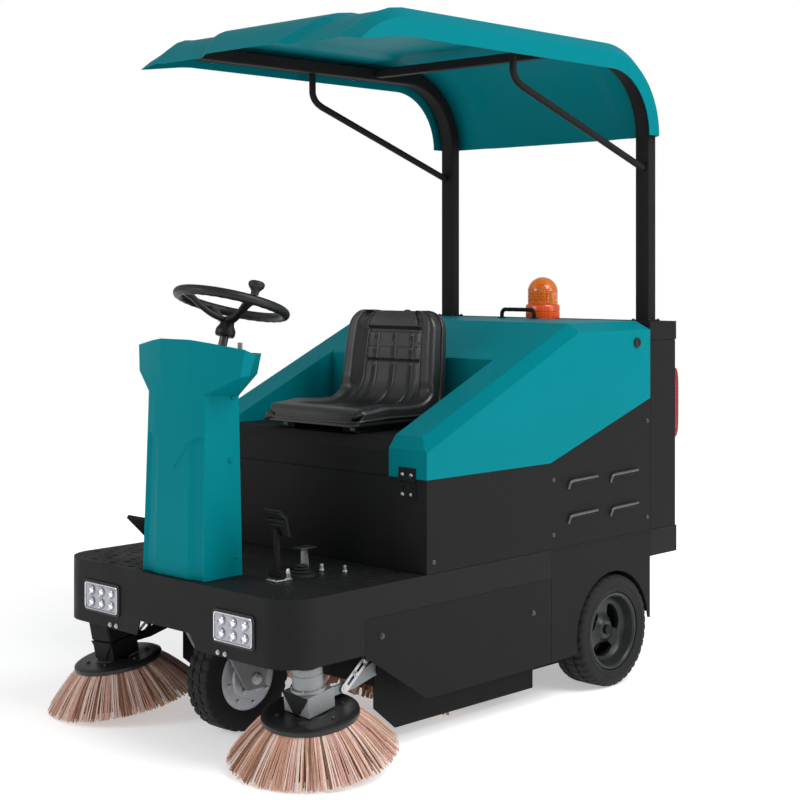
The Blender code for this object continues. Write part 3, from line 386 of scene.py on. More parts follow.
def lathe(name, profile, look, body, matrix, steps=48, closed=False, angle=32.0, wave=None, replaces=None):
    """A profile of (radius, height) turned about local Z, then placed by matrix."""
    work = bmesh.new()
    rings = []
    for r, z in profile:
        if r < 1e-6:
            rings.append([work.verts.new(matrix @ Vector((0, 0, z)))])
        else:
            ring = []
            for k in range(steps):
                a = 2 * math.pi * k / steps
                rr = r if wave is None else wave(r, z, a)
                ring.append(work.verts.new(matrix @ Vector((rr * math.cos(a), rr * math.sin(a), z))))
            rings.append(ring)
    pairs = list(zip(rings, rings[1:]))
    if closed:
        pairs.append((rings[-1], rings[0]))
    for a, b in pairs:
        for k in range(steps):
            m = (k + 1) % steps
            if len(a) == 1 and len(b) == 1:
                continue
            if len(a) == 1:
                work.faces.new((a[0], b[k], b[m]))
            elif len(b) == 1:
                work.faces.new((a[k], b[0], a[m]))
            else:
                work.faces.new((a[k], b[k], b[m], a[m]))
    if not closed:
        for ring, flip in ((rings[0], False), (rings[-1], True)):
            if len(ring) > 1:
                work.faces.new(ring[::-1] if flip else ring)
    made = finish_mesh(name, work, look, body, angle=angle)
    if replaces:
        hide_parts(*replaces)
    return made


def placed(centre, axis, spin=0.0):
    """A matrix whose local Z is axis, at centre."""
    z = Vector(axis).normalized()
    turn = Vector((0, 0, 1)).rotation_difference(z).to_matrix().to_4x4()
    return Matrix.Translation(Vector(centre)) @ turn @ Matrix.Rotation(spin, 4, "Z")


def add_box(work, low, high, matrix=None, taper=None):
    """Add a box between two corners to a bmesh; taper shrinks its +Z end."""
    xs, ys, zs = zip(low, high)
    corners = []
    for z, t in ((zs[0], 1.0), (zs[1], taper or 1.0)):
        cx, cy = (xs[0] + xs[1]) / 2, (ys[0] + ys[1]) / 2
        for x, y in ((xs[0], ys[0]), (xs[1], ys[0]), (xs[1], ys[1]), (xs[0], ys[1])):
            p = Vector((cx + (x - cx) * t, cy + (y - cy) * t, z))
            corners.append(work.verts.new(matrix @ p if matrix is not None else p))
    for ids in ((3, 2, 1, 0), (4, 5, 6, 7), (0, 1, 5, 4), (1, 2, 6, 5), (2, 3, 7, 6), (3, 0, 4, 7)):
        work.faces.new([corners[i] for i in ids])
    return corners


def add_lathe(work, profile, matrix, steps=16):
    """Add a closed profile of (radius, height), turned about local Z, to a bmesh."""
    rings = []
    for r, z in profile:
        if r < 1e-6:
            rings.append([work.verts.new(matrix @ Vector((0, 0, z)))])
        else:
            rings.append([work.verts.new(matrix @ Vector((r * math.cos(a), r * math.sin(a), z)))
                          for a in (2 * math.pi * k / steps for k in range(steps))])
    for a, b in zip(rings, rings[1:]):
        for k in range(steps):
            m = (k + 1) % steps
            if len(a) == 1:
                work.faces.new((a[0], b[k], b[m]))
            elif len(b) == 1:
                work.faces.new((a[k], b[0], a[m]))
            else:
                work.faces.new((a[k], b[k], b[m], a[m]))
    if len(rings[0]) > 1:
        work.faces.new(rings[0])
    if len(rings[-1]) > 1:
        work.faces.new(rings[-1][::-1])


def add_hex_bolt(work, matrix, size, height):
    """A bolt: a flat washer, a six-sided head with a crowned top, and its shallow dimple."""
    add_lathe(work, [(0.0, -0.0002), (size * 1.35, -0.0002), (size * 1.35, height * 0.22),
                     (size * 1.2, height * 0.3),
                     (0.0, height * 0.3)], matrix, 20)
    add_lathe(work, [(0.0, height * 0.2), (size, height * 0.2), (size, height * 0.85),
                     (size * 0.88, height), (size * 0.45, height), (size * 0.38, height * 0.93),
                     (0.0, height * 0.93)], matrix, 6)


def add_pan_screw(work, matrix, size):
    """A domed screw head; screws adds the cross-shaped socket standing in it."""
    dome = [(0.0, size * 0.42), (size * 0.30, size * 0.40), (size * 0.62, size * 0.32),
            (size * 0.88, size * 0.17), (size, 0.0),
            (size, -0.0006)]
    add_lathe(work, dome[::-1], matrix, 20)


def screws(name, places, axis, size, look, body):
    """Domed screw heads at places, as one piece."""
    work = bmesh.new()
    for place in places:
        add_pan_screw(work, placed(place, axis), size)
        m = placed(place, axis, 0.4)
        for s in (0.0, math.pi / 2):
            t = m @ Matrix.Rotation(s, 4, "Z")
            add_box(work, (-size * 0.42, -size * 0.10, size * 0.20),
                    (size * 0.42, size * 0.10, size * 0.45), t)
    return finish_mesh(name, work, look, body, angle=40.0)


def bolts(name, places, axis, size, height, look, body):
    """Hexagon bolt heads at places, as one piece."""
    work = bmesh.new()
    for i, place in enumerate(places):
        add_hex_bolt(work, placed(place, axis, 0.3 + 0.7 * i), size, height)
    return finish_mesh(name, work, look, body, angle=30.0)


def rounded_plate(name, half_x, half_y, radius, thick, matrix, look, body, corner=6):
    """A plate with round corners, its rim eased, standing on local Z = 0."""
    outline = []
    for cx, cy, start in ((1, 1, 0), (-1, 1, 90), (-1, -1, 180), (1, -1, 270)):
        for k in range(corner + 1):
            a = math.radians(start + 90.0 * k / corner)
            outline.append((cx * (half_x - radius) + radius * math.cos(a),
                            cy * (half_y - radius) + radius * math.sin(a)))
    work = bmesh.new()
    rings = []
    for inset, z in ((0.0, 0.0), (0.0, thick - 0.001), (0.0008, thick - 0.0003), (0.0018, thick)):
        fx, fy = (half_x - inset) / half_x, (half_y - inset) / half_y
        rings.append([work.verts.new(matrix @ Vector((x * fx, y * fy, z))) for x, y in outline])
    for a, b in zip(rings, rings[1:]):
        for k in range(len(outline)):
            m = (k + 1) % len(outline)
            work.faces.new((a[k], a[m], b[m], b[k]))
    work.faces.new(rings[0][::-1])
    work.faces.new(rings[-1])
    return finish_mesh(name, work, look, body, angle=40.0)


# ---------------------------------------------------------------- chassis and body panels

refine("chassis_deck", DECK, 0.0030, 3)


def deck_marks():
    """Raised teardrop marks pressed into the deck where the driver steps."""
    work = bmesh.new()
    pitch, row_pitch, deck_end = 0.042, 0.034, 0.480
    stretch = Matrix.Diagonal((0.0105, 0.0030, 1.0, 1.0))
    row = 0
    y = 0.030
    while y < deck_end:
        offset = 0.0 if row % 2 else pitch / 2
        for i in range(-11, 12):
            x = i * pitch + offset
            at_edge = abs(x) > 0.455 or (abs(x) > 0.40 and y < 0.07)
            under_column = abs(x) < 0.140 and y < 0.200
            if at_edge or under_column:
                continue
            turn = math.radians(40.0 if (i + row) % 2 else -40.0)
            m = Matrix.Translation(at(x, y, 0.449)) @ Matrix.Rotation(turn, 4, "Z") @ stretch
            add_lathe(work, [(1.0, -0.0002), (0.86, 0.0008), (0.45, 0.0013), (0.0, 0.0014)], m, 10)
        y += row_pitch
        row += 1
    return finish_mesh("deck_grip_marks", work, DECK, "chassis", angle=60.0)


deck_marks()

PANEL_FACE = 0.4806                     # the side panels' outer face, from the middle
LOUVRES = [(y, z) for y in (1.108, 1.314) for z in (0.536, 0.637)]
# a louvre's raised lip: distance out, then back and up from the louvre's front end
LOUVRE_LIP = ((PANEL_FACE, -0.009, -0.019), (0.4845, -0.010, -0.010), (0.4862, -0.004, 0.0005),
              (0.4862, 0.010, 0.0030), (0.4862, 0.060, 0.0045), (0.4860, 0.118, 0.0060),
              (0.4835, 0.126, 0.0060), (PANEL_FACE, 0.128, 0.0058))
for side, s in SIDES:
    refine("skirt_panel_" + side, BLACK, 0.0012, 2)
    refine("arch_panel_" + side, BLACK, 0.0012, 2)
    refine("side_panel_" + side, BLACK, 0.0016, 2)
    refine("hinge_lower_" + side, BLACK, 0.0005, 1)
    refine("hinge_upper_" + side, BLACK, 0.0005, 1)
    for leaf, share in (("upper", 0.52), ("lower", 0.22)):
        low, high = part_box("hinge_%s_%s" % (leaf, side))
        screws("hinge_screws_%s_%s" % (leaf, side),
               [((low.x + high.x) / 2 + dx, low.y + 0.0062, low.z + (high.z - low.z) * share)
                for dx in (-0.016, 0.016)],
               (0, -1, 0), 0.0062, ZINC, node_body("hinge_%s_%s" % (leaf, side)))
    x = s * 0.4803
    out = (s, 0.0, 0.0)
    screws("body_screws_" + side,
           [at(x, 1.031, 0.650), at(x, 1.031, 0.491), at(x, 1.498, 0.790), at(x, 1.498, 0.492),
            at(x, 0.520, 0.480)], out, 0.0072, BOLT, "chassis")
    bolts("skirt_bolts_" + side, [at(x, 0.323, 0.317), at(x, 0.936, 0.281)], out, 0.0062, 0.0050, BOLT,
          "chassis")
    # thin near-black sheets on the panel face: painted shade where the louvre openings are
    slots = bmesh.new()
    for y, z in LOUVRES:
        m = Matrix.Translation(at(s * PANEL_FACE, y + 0.064, z - 0.0025))
        add_box(slots, (-0.0006, -0.058, -0.0045), (0.0006, 0.058, 0.0025), m)
    finish_mesh("louvre_slot_shade_" + side, slots, SLOT_SHADE, "chassis")
    # the lips are coloured lighter than the panel around them: painted highlight
    for y, z in LOUVRES:
        tube("louvre_lip_%s_%d_%d" % (side, round(y * 1000), round(z * 1000)),
             curve_points([at(s * x, y + dy, z + dz) for x, dy, dz in LOUVRE_LIP], 5),
             0.0040, LIP_HIGHLIGHT, "chassis", sides=12)

refine("front_panel", BLACK, 0.0012, 2)
refine("rear_box", BLACK, 0.0022, 3)
refine("rear_box_lid", BLACK, 0.0026, 3)
refine("seat_shelf", BLACK, 0.0030, 3)
refine("brush_housing", BLACK, 0.0012, 1)
refine("dust_hopper", BLACK, 0.0020, 2)
refine("battery_pack", CASE_GREY, 0.0, 1)

# the rear door, its hinges and latch, and the hopper's pull
door = bmesh.new()
back = 1.650
add_box(door, tuple(at(-0.400, back + 0.0002, 0.520)), tuple(at(0.400, back + 0.0028, 0.985)))
leaf = finish_mesh("rear_door", door, BLACK, smooth=False)
crisp_edges(leaf, 0.0016, 3)
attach(leaf, "chassis")
for z in (0.60, 0.90):
    tube("rear_door_hinge_%d" % int(z * 100),
         [at(-0.405, back + 0.0062, z - 0.028), at(-0.405, back + 0.0062, z + 0.028)],
         0.0055, BLACK, "chassis", sides=16)
bolts("rear_door_bolts", [at(x, back + 0.0028, z) for x in (-0.385, 0.385) for z in (0.545, 0.755, 0.960)],
      (0, 1, 0), 0.0055, 0.0045, BOLT, "chassis")
rounded_plate("rear_door_latch", 0.016, 0.030, 0.010, 0.006,
              placed(at(0.362, back + 0.0028, 0.760), (0, 1, 0)), PLASTIC, "chassis")
pull_y = 1.6005
pull_side = [(0.090, 0.0), (0.088, 0.018), (0.070, 0.026)]
pull_line = [(-x, out) for x, out in pull_side] + pull_side[::-1]
tube("hopper_pull", curve_points([at(x, pull_y + out, 0.235) for x, out in pull_line]), 0.0060, BLACK,
     "hopper", sides=12)

for side, s in SIDES:
    low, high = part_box("tail_light_" + side)
    centre = (low + high) / 2
    m = placed((centre.x, low.y, centre.z), (0, 1, 0))
    rounded_plate("tail_lamp_base_" + side, 0.0245, 0.121, 0.008, 0.004, m, PLASTIC, "chassis")
    lens = bmesh.new()
    half_h = 0.113
    rows = []
    for i in range(41):
        z = -half_h + 2 * half_h * i / 40
        end = (1 - abs(z / half_h) ** 6) ** 0.5 if abs(z) < half_h else 0.0
        rib = 0.0007 * (i % 2)
        ring = []
        for k in range(13):
            u = -1 + 2 * k / 12
            bulge = (1 - abs(u) ** 10) ** 0.5 if abs(u) < 1 else 0.0
            ring.append(lens.verts.new(Vector((centre.x + 0.0225 * u,
                                               low.y + 0.0038 + (0.0352 - rib) * bulge
                                               * (0.25 + 0.75 * end) + 0.0002,
                                               centre.z + z))))
        rows.append(ring)
    for p, q in zip(rows, rows[1:]):
        for k in range(12):
            lens.faces.new((p[k], p[k + 1], q[k + 1], q[k]))
    rim = [r[0] for r in rows] + rows[-1][1:] + [r[-1] for r in rows[::-1]][1:] + rows[0][1:-1][::-1]
    lens.faces.new(rim)
    made = finish_mesh("tail_lamp_lens_" + side, lens, RED, "chassis", angle=50.0)
    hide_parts("tail_light_" + side)

# ---------------------------------------------------------------- hood

refine("hood_cover", TEAL, 0.0036, 4, angle=8.0, sharp=30.0)
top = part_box("hood_handle")
HANDLE_HALF, HANDLE_Y, HANDLE_FOOT = 0.068, top[0].y + 0.0067, top[0].z
handle_side = [(HANDLE_HALF, 0.0), (HANDLE_HALF, 0.016), (0.060, 0.0265), (0.045, 0.028)]
handle_line = [(-x, z) for x, z in handle_side] + handle_side[::-1]
grip = tube("hood_handle_bar", curve_points([(x, HANDLE_Y, HANDLE_FOOT + z) for x, z in handle_line], 6),
            0.0066, BLACK, "hood", sides=14)
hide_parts("hood_handle")
for tag, x in (("a", -HANDLE_HALF), ("b", HANDLE_HALF)):
    rounded_plate("handle_foot_" + tag, 0.013, 0.011, 0.005, 0.003,
                  placed((x, HANDLE_Y, HANDLE_FOOT - 0.0002), (0, 0, 1)), BLACK, "hood")
lathe("hood_stay_knob",
      [(0.0, 0.026), (0.008, 0.0255), (0.0125, 0.022), (0.0135, 0.016), (0.011, 0.010), (0.0075, 0.007),
       (0.0075, 0.0), (0.0, 0.0)], PLASTIC, "hood", placed(at(-0.330, 1.270, 1.0982), (0, 0, 1)), 28)
lock_low, lock_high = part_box("hood_lock")
lock_centre = (lock_low + lock_high) / 2
m = placed((lock_low.x, lock_centre.y, lock_centre.z), (1, 0, 0))
face = lathe("hood_lock_face",
             [(0.0150, 0.0), (0.0155, 0.0035), (0.0142, 0.0062), (0.0100, 0.0072), (0.0092, 0.0052),
              (0.0, 0.0052)],
             PLASTIC, "hood_lock", m, 36, angle=30.0)
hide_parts("hood_lock")
# a near-black bar in the lock's face: painted shade in the key slot
slot_mesh = bmesh.new()
add_box(slot_mesh, (-0.0012, -0.0068, 0.0050), (0.0012, 0.0068, 0.0060), m)
finish_mesh("hood_lock_slot_shade", slot_mesh, SLOT_SHADE, "hood_lock")

# ---------------------------------------------------------------- beacon

low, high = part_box("beacon_base")
centre = Vector(((low.x + high.x) / 2, (low.y + high.y) / 2, low.z))
lathe("beacon_collar",
      [(0.0, 0.0472), (0.0500, 0.0472), (0.0535, 0.0462), (0.0560, 0.0430), (0.0568, 0.0380),
       (0.0568, 0.0245), (0.0552, 0.0235), (0.0552, 0.0215), (0.0568, 0.0205), (0.0568, 0.0060),
       (0.0556, 0.0)],
      AMBER_CORE, "chassis", placed(centre, (0, 0, 1)), 64, replaces=["beacon_base"])
low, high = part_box("beacon_lens")
dome = [(0.0495, 0.0), (0.0500, 0.004)]
for k in range(1, 8):
    dome += [(0.0500, 0.004 + 0.005 * k - 0.0012), (0.0492, 0.004 + 0.005 * k)]
dome += [(0.0500 * math.cos(math.radians(a)), 0.0400 + 0.0495 * math.sin(math.radians(a)))
         for a in range(4, 90, 6)] + [(0.0, 0.0896)]
lathe("beacon_dome", dome[::-1], AMBER, "chassis", placed((0.0, centre.y, low.z), (0, 0, 1)), 64,
      replaces=["beacon_lens"])
lathe("beacon_lamp", [(0.0, 0.060), (0.010, 0.058), (0.0145, 0.050), (0.0145, 0.014), (0.022, 0.010),
                      (0.022, 0.0006), (0.0, 0.0006)],
      AMBER_CORE, "chassis", placed((0.0, centre.y, low.z), (0, 0, 1)), 32)

# ---------------------------------------------------------------- canopy

LANE_TOP = 1.946


def roof_rows():
    """The roof's stations, from the front edge round to the back one.

    Each has the lane's Y, Z and lean, the fold's and the skirt's Y and Z, then the half widths of the raised
    middle, of the lane beside it and of the edge."""
    keys = [(0.265, 1.8570, 40.0, 0.268, 1.848, 0.2665, 1.8455, 0.150, 0.180, 0.385),
            (0.297, 1.8810, 38.0, 0.301, 1.873, 0.300, 1.8500, 0.172, 0.206, 0.396),
            (0.333, 1.9070, 34.0, 0.339, 1.894, 0.338, 1.8555, 0.197, 0.234, 0.408),
            (0.369, 1.9280, 25.0, 0.378, 1.909, 0.377, 1.8610, 0.219, 0.260, 0.419),
            (0.405, 1.9405, 14.0, 0.412, 1.916, 0.412, 1.8660, 0.235, 0.278, 0.427),
            (0.450, LANE_TOP, 0.0, 0.450, 1.920, 0.450, 1.8690, 0.240, 0.285, 0.430),
            (1.350, LANE_TOP, 0.0, 1.350, 1.920, 1.350, 1.8690, 0.240, 0.285, 0.430)]
    stations = []
    for a, b in zip(keys, keys[1:]):
        steps = 3 if b[0] - a[0] < 0.2 else 10
        for k in range(steps):
            t = k / steps
            stations.append([p + (q - p) * t for p, q in zip(a, b)])
    stations.append(list(keys[-1]))
    for i in range(1, 25):
        a = math.radians(90.0 - 90.0 * i / 24)
        lane_at, fold_at, skirt_at = [(1.350 + r * math.cos(a), 1.679 + r * math.sin(a))
                                      for r in (LANE_TOP - 1.679, 0.241, 0.190)]
        stations.append([*lane_at, -90.0 * i / 24, *fold_at, *skirt_at, 0.240, 0.285, 0.430])
    return stations


def roof_section(y, z, lean, fold_y, fold_z, skirt_y, skirt_z, middle, lane, edge):
    """The roof across at one station: skirt, fold, edge, lane and raised middle, on both sides."""
    across, up = -math.sin(math.radians(lean)), math.cos(math.radians(lean))
    right = [at(0.459, skirt_y, skirt_z), at(0.460, fold_y, fold_z)]
    right += [at(x, y + across * h, z + up * h)
              for x, h in ((edge, 0.004), (edge - 0.03, 0.0), (lane, 0.0), (middle, 0.0115),
                           (0.07, 0.0115))]
    left = [Vector((-p.x, p.y, p.z)) for p in right]
    return left + right[::-1]


roof = bmesh.new()
grid = [[roof.verts.new(p) for p in roof_section(*station)] for station in roof_rows()]
for a, b in zip(grid, grid[1:]):
    for k in range(len(a) - 1):
        roof.faces.new((a[k], a[k + 1], b[k + 1], b[k]))
sheet = finish_mesh("canopy_sheet", roof, TEAL_ROOF, smooth=False)
up = sum(f.normal.z * f.area for f in sheet.data.polygons)
folded_sheet(sheet, 0.0034, -1.0 if up > 0 else 1.0, 0.0040, 12, 34)
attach(sheet, "chassis")
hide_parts("canopy_roof")

for side, s in SIDES:
    refine("canopy_frame_" + side, BLACK, 0.0055, 3, angle=40.0, sharp=36.0)
    x = s * 0.420
    bar = tube("canopy_stay_" + side,
               curve_points([at(x, 0.920, 1.8880), at(x, 0.920, 1.8500), at(x, 0.9215, 1.822),
                             at(x, 0.936, 1.800), at(x, 0.962, 1.785), at(x, 1.000, 1.7717),
                             at(x, 1.300, 1.6671), at(x, 1.5555, 1.578)], 6),
               0.0108, BLACK, "chassis", sides=18)
    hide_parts("canopy_brace_" + side)
    rounded_plate("post_foot_" + side, 0.036, 0.030, 0.005, 0.0045,
                  placed(at(s * 0.415, 1.580, 1.0953), (0, 0, 1)), BLACK, "chassis")
    bolts("post_foot_bolts_" + side,
          [at(s * 0.415 + dx, 1.580 + dy, 1.0998) for dx in (-0.031, 0.031) for dy in (-0.023, 0.023)],
          (0, 0, 1), 0.0035, 0.003, BOLT, "chassis")
refine("canopy_cross_tube", BLACK, 0.0035, 3)
bolts("canopy_bolts", [at(sx * 0.415, y, 1.8888) for sx in (-1, 1) for y in (0.50, 1.10)], (0, 0, -1),
      0.0055, 0.005, BOLT, "chassis")

# ---------------------------------------------------------------- column, dash and steering

COLUMN_FOOT = 0.4493
COLUMN_TOP = [((0.0755, 0.0266, 0.915), (0.1195, 0.0365, 0.930), (0.120, 0.150, 0.922),
               (0.070, 0.174, 0.905)),
              ((0.0745, 0.0284, 0.985), (0.2132, 0.076, 0.979), (0.2132, 0.106, 0.981),
               (0.085, 0.245, 0.975)),
              ((0.0727, 0.0304, 1.073), (0.224, 0.082, 1.050), (0.2215, 0.122, 1.036),
               (0.090, 0.255, 1.030))]
COLUMN_BASE = ((0.085, 0.014, COLUMN_FOOT), (0.129, 0.024, COLUMN_FOOT), (0.120, 0.162, COLUMN_FOOT),
               (0.070, 0.188, COLUMN_FOOT))
# across the front: share of the corner's width, how far the lower part stands back, the shield's lower edge
COLUMN_FRONT = ((0.0, 0.0042, 0.729), (0.27, 0.0042, 0.768), (0.53, 0.0042, 0.806), (0.665, 0.0098, 0.811),
                (0.70, 0.0100, 0.813), (0.88, 0.0085, 0.820), (1.0, 0.0, 0.825))


def column_half(front, corner, rear, back):
    """Points round one half of the column, from the middle of the front to the back edge."""
    front, corner, rear, back = [Vector(p) for p in (front, corner, rear, back)]
    pts = []
    for share, _, _ in COLUMN_FRONT:
        x = corner.x * share
        t = max(0.0, (x - front.x) / (corner.x - front.x))
        pts.append(Vector((x, front.y + (corner.y - front.y) * t, front.z + (corner.z - front.z) * t)))
    pts += [corner.lerp(rear, t) for t in (0.35, 0.7, 1.0)]
    pts += [rear.lerp(back, t) for t in (0.5, 1.0)]
    return pts


def column_rows():
    """Half rows up the column: the foot, the recessed lower part, the shield above it and the head."""
    base, shoulder = column_half(*COLUMN_BASE), column_half(*COLUMN_TOP[0])
    edges = [edge for _, _, edge in COLUMN_FRONT] + [0.825] * 5
    depths = [depth for _, depth, _ in COLUMN_FRONT] + [0.0] * 5

    def level(t_of, recess):
        row = []
        for low, high, edge, depth in zip(base, shoulder, edges, depths):
            t = t_of(low, high, edge)
            p = low.lerp(high, t)
            row.append(p + Vector((0.0, depth * recess, 0.0)))
        return row
    rows = [level(lambda low, high, edge: 0.0, 1.0)]
    for share in (0.35, 0.7):
        rows.append(level(lambda low, high, edge: share * (edge - low.z) / (high.z - low.z), 1.0))
    rows.append(level(lambda low, high, edge: (edge - 0.003 - low.z) / (high.z - low.z), 1.0))
    rows.append(level(lambda low, high, edge: (edge + 0.003 - low.z) / (high.z - low.z), 0.0))
    rows.append(shoulder)
    rows += [column_half(*ring) for ring in COLUMN_TOP[1:]]
    return rows


column = bmesh.new()
grid = []
for row in column_rows():
    mirrored = [Vector((-p.x, p.y, p.z)) for p in row[:0:-1]]
    grid.append([column.verts.new(at(*p)) for p in mirrored + row])
for lower, upper in zip(grid, grid[1:]):
    for k in range(len(lower)):
        m = (k + 1) % len(lower)
        column.faces.new((lower[k], lower[m], upper[m], upper[k]))
cover = finish_mesh("column_cover_sheet", column, TEAL, smooth=False)
outward = sum(f.normal.dot(f.center - Vector((0.0, at(0, 0.1, 0).y, f.center.z)))
              for f in cover.data.polygons)
folded_sheet(cover, 0.003, -1.0 if outward > 0 else 1.0, 0.0022, 14, 30)
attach(cover, "chassis")
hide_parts("column_cover")
refine("dash_panel", PLASTIC, 0.0016, 2)
refine("steering_gearbox", CAST, 0.0025, 2)
refine("ignition_key", ZINC, 0.0006, 2)
for side, s in SIDES:
    screws("column_screws_" + side,
           [at(s * 0.1240, 0.119, 0.754), at(s * 0.1222, 0.139, 0.498), at(s * 0.1235, 0.128, 0.920)],
           (s, 0, 0), 0.0058, TEAL, "chassis")
tilt = math.radians(16.0)
helm = Vector((0.0, math.sin(tilt), math.cos(tilt)))
rim_centre = at(0.0, 0.226, 1.163)
M = placed(rim_centre, helm)
lathe("steering_shaft_bar",
      [(0.0, -0.0926), (0.0122, -0.0926), (0.0122, -0.120), (0.0108, -0.122), (0.0108, -0.150),
       (0.0122, -0.152), (0.0122, -0.300), (0.0, -0.300)], BOLT, "steering_wheel", M, 28,
      replaces=["steering_shaft"])
lathe("shaft_boot", [(0.0126, -0.1185), (0.0200, -0.121), (0.0215, -0.1255), (0.0190, -0.1285),
                     (0.0126, -0.1285)],
      RUBBER, "steering_wheel", M, 32, closed=True)

HELM_RADIUS, HELM_TUBE = 0.1485, 0.0138
rim = bmesh.new()
rings = []
for i in range(128):
    a = 2 * math.pi * i / 128
    ring = []
    for j in range(16):
        b = 2 * math.pi * j / 16
        waist = 0.0009 * math.cos(16 * a) * (0.5 - 0.5 * math.sin(b)) if math.cos(b) < 0.7 else 0.0
        r = HELM_TUBE - abs(waist)
        ring.append(rim.verts.new(M @ Vector(((HELM_RADIUS + r * math.cos(b)) * math.cos(a),
                                              (HELM_RADIUS + r * math.cos(b)) * math.sin(a),
                                              r * math.sin(b)))))
    rings.append(ring)
for i in range(128):
    for j in range(16):
        rim.faces.new((rings[i][j], rings[(i + 1) % 128][j], rings[(i + 1) % 128][(j + 1) % 16],
                       rings[i][(j + 1) % 16]))
wheel = finish_mesh("steering_rim", rim, PLASTIC, "steering_wheel", angle=60.0)
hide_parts("steering_wheel")
lathe("steering_hub",
      [(0.0, -0.0375), (0.010, -0.0375), (0.0135, -0.039), (0.0165, -0.042), (0.0182, -0.047),
       (0.0200, -0.060), (0.0262, -0.0715), (0.0275, -0.076), (0.0275, -0.086), (0.0245, -0.0915),
       (0.0, -0.0921)],
      PLASTIC, "steering_wheel", M, 48)
for n, heading in enumerate((71.0, -19.0, -109.0)):
    a = math.radians(heading)
    along = Vector((math.sin(a), -math.cos(a), 0.0))
    across = Vector((math.cos(a), math.sin(a), 0.0))
    path = curve_points([along * 0.018 + Vector((0, 0, -0.046)), along * 0.045 + Vector((0, 0, -0.042)),
                         along * 0.080 + Vector((0, 0, -0.029)), along * 0.115 + Vector((0, 0, -0.010)),
                         along * 0.147 + Vector((0, 0, -0.001))], 6)
    spoke = bmesh.new()
    rings = []
    for i, p in enumerate(path):
        t = i / (len(path) - 1)
        nxt = path[min(i + 1, len(path) - 1)] - path[max(i - 1, 0)]
        up = across.cross(nxt.normalized())
        if up.z < 0:
            up = -up
        if n == 1:
            wide = 0.0145 - 0.005 * math.sin(math.pi * t)
        else:
            wide = 0.0165 - 0.0060 * math.sin(math.pi * min(1.0, t * 1.05))
        tall = 0.0078
        ring = []
        for k in range(14):
            b = 2 * math.pi * k / 14
            cb, sb = math.cos(b), math.sin(b)
            ring.append(spoke.verts.new(M @ (p + across * wide * math.copysign(abs(cb) ** 0.7, cb)
                                             + up * tall * math.copysign(abs(sb) ** 0.7, sb))))
        rings.append(ring)
    for p, q in zip(rings, rings[1:]):
        for k in range(14):
            spoke.faces.new((p[k], p[(k + 1) % 14], q[(k + 1) % 14], q[k]))
    spoke.faces.new(rings[0][::-1])
    spoke.faces.new(rings[-1])
    finish_mesh("steering_spoke_%d" % n, spoke, PLASTIC, "steering_wheel", angle=60.0)
a = math.radians(72.0)
knob_at = rim_centre + (M.to_3x3() @ Vector((HELM_RADIUS * math.sin(a), -HELM_RADIUS * math.cos(a),
                                             0.0146)))
made = lathe("steering_knob_grip",
             [(0.0, 0.0383), (0.0090, 0.0380), (0.0150, 0.0370), (0.0195, 0.0348), (0.0220, 0.0312),
              (0.0224, 0.0278), (0.0212, 0.0222), (0.0175, 0.0170), (0.0135, 0.0128), (0.0112, 0.0090),
              (0.0106, 0.0045), (0.0114, 0.0005),
              (0.0, 0.0005)],
             PLASTIC, "steering_knob", placed(knob_at, helm), 40, replaces=["steering_knob"])

# gauge and switches on the dash
DASH_FALL = 0.12                         # how much the dash falls for each metre towards the driver
dash_normal = Vector((0.0, DASH_FALL, 1.0)).normalized()


def dash_point(x, y):
    """A point on the sloping top of the dash."""
    return at(x, y, 1.0545 - DASH_FALL * y)


gauge = placed(dash_point(-0.125, 0.108), dash_normal)
rounded_plate("dash_gauge_frame", 0.034, 0.020, 0.006, 0.003, gauge, PLASTIC, "chassis")
rounded_plate("dash_gauge_glass", 0.028, 0.014, 0.003, 0.0036, gauge, GLASS, "chassis")
switches = bmesh.new()
for k in range(3):
    m = placed(dash_point(0.105 + 0.032 * k, 0.104), dash_normal) @ Matrix.Rotation(math.radians(8), 4, "X")
    add_box(switches, (-0.011, -0.0085, -0.001), (0.011, 0.0085, 0.0055), m, taper=0.86)
finish_mesh("dash_switches", switches, BLACK, "chassis")

# ---------------------------------------------------------------- seat

# the seat's side view, from the cushion's front edge to the head of the backrest: top face, then underside
SEAT_LINE = [(0.524, 0.838), (0.531, 0.858), (0.552, 0.8665), (0.600, 0.8645), (0.670, 0.8600),
             (0.740, 0.8580), (0.790, 0.8640), (0.823, 0.8850), (0.8405, 0.920), (0.848, 0.965),
             (0.853, 1.015), (0.860, 1.065), (0.868, 1.105),
             (0.876, 1.128)]
SEAT_UNDER = [(0.517, 0.822), (0.520, 0.8145), (0.550, 0.8135), (0.610, 0.8135), (0.680, 0.8135),
              (0.750, 0.8135), (0.812, 0.8150), (0.858, 0.8330), (0.884, 0.875), (0.896, 0.930),
              (0.902, 0.990), (0.907, 1.050), (0.911, 1.100),
              (0.908, 1.126)]


def smoothstep(low, high, value):
    """0 below low, 1 above high, and a smooth rise between."""
    t = min(1.0, max(0.0, (value - low) / (high - low)))
    return t * t * (3 - 2 * t)


def ridge(distance, width):
    """A round-topped ridge, 1 at its middle."""
    return math.exp(-(distance / width) ** 2)


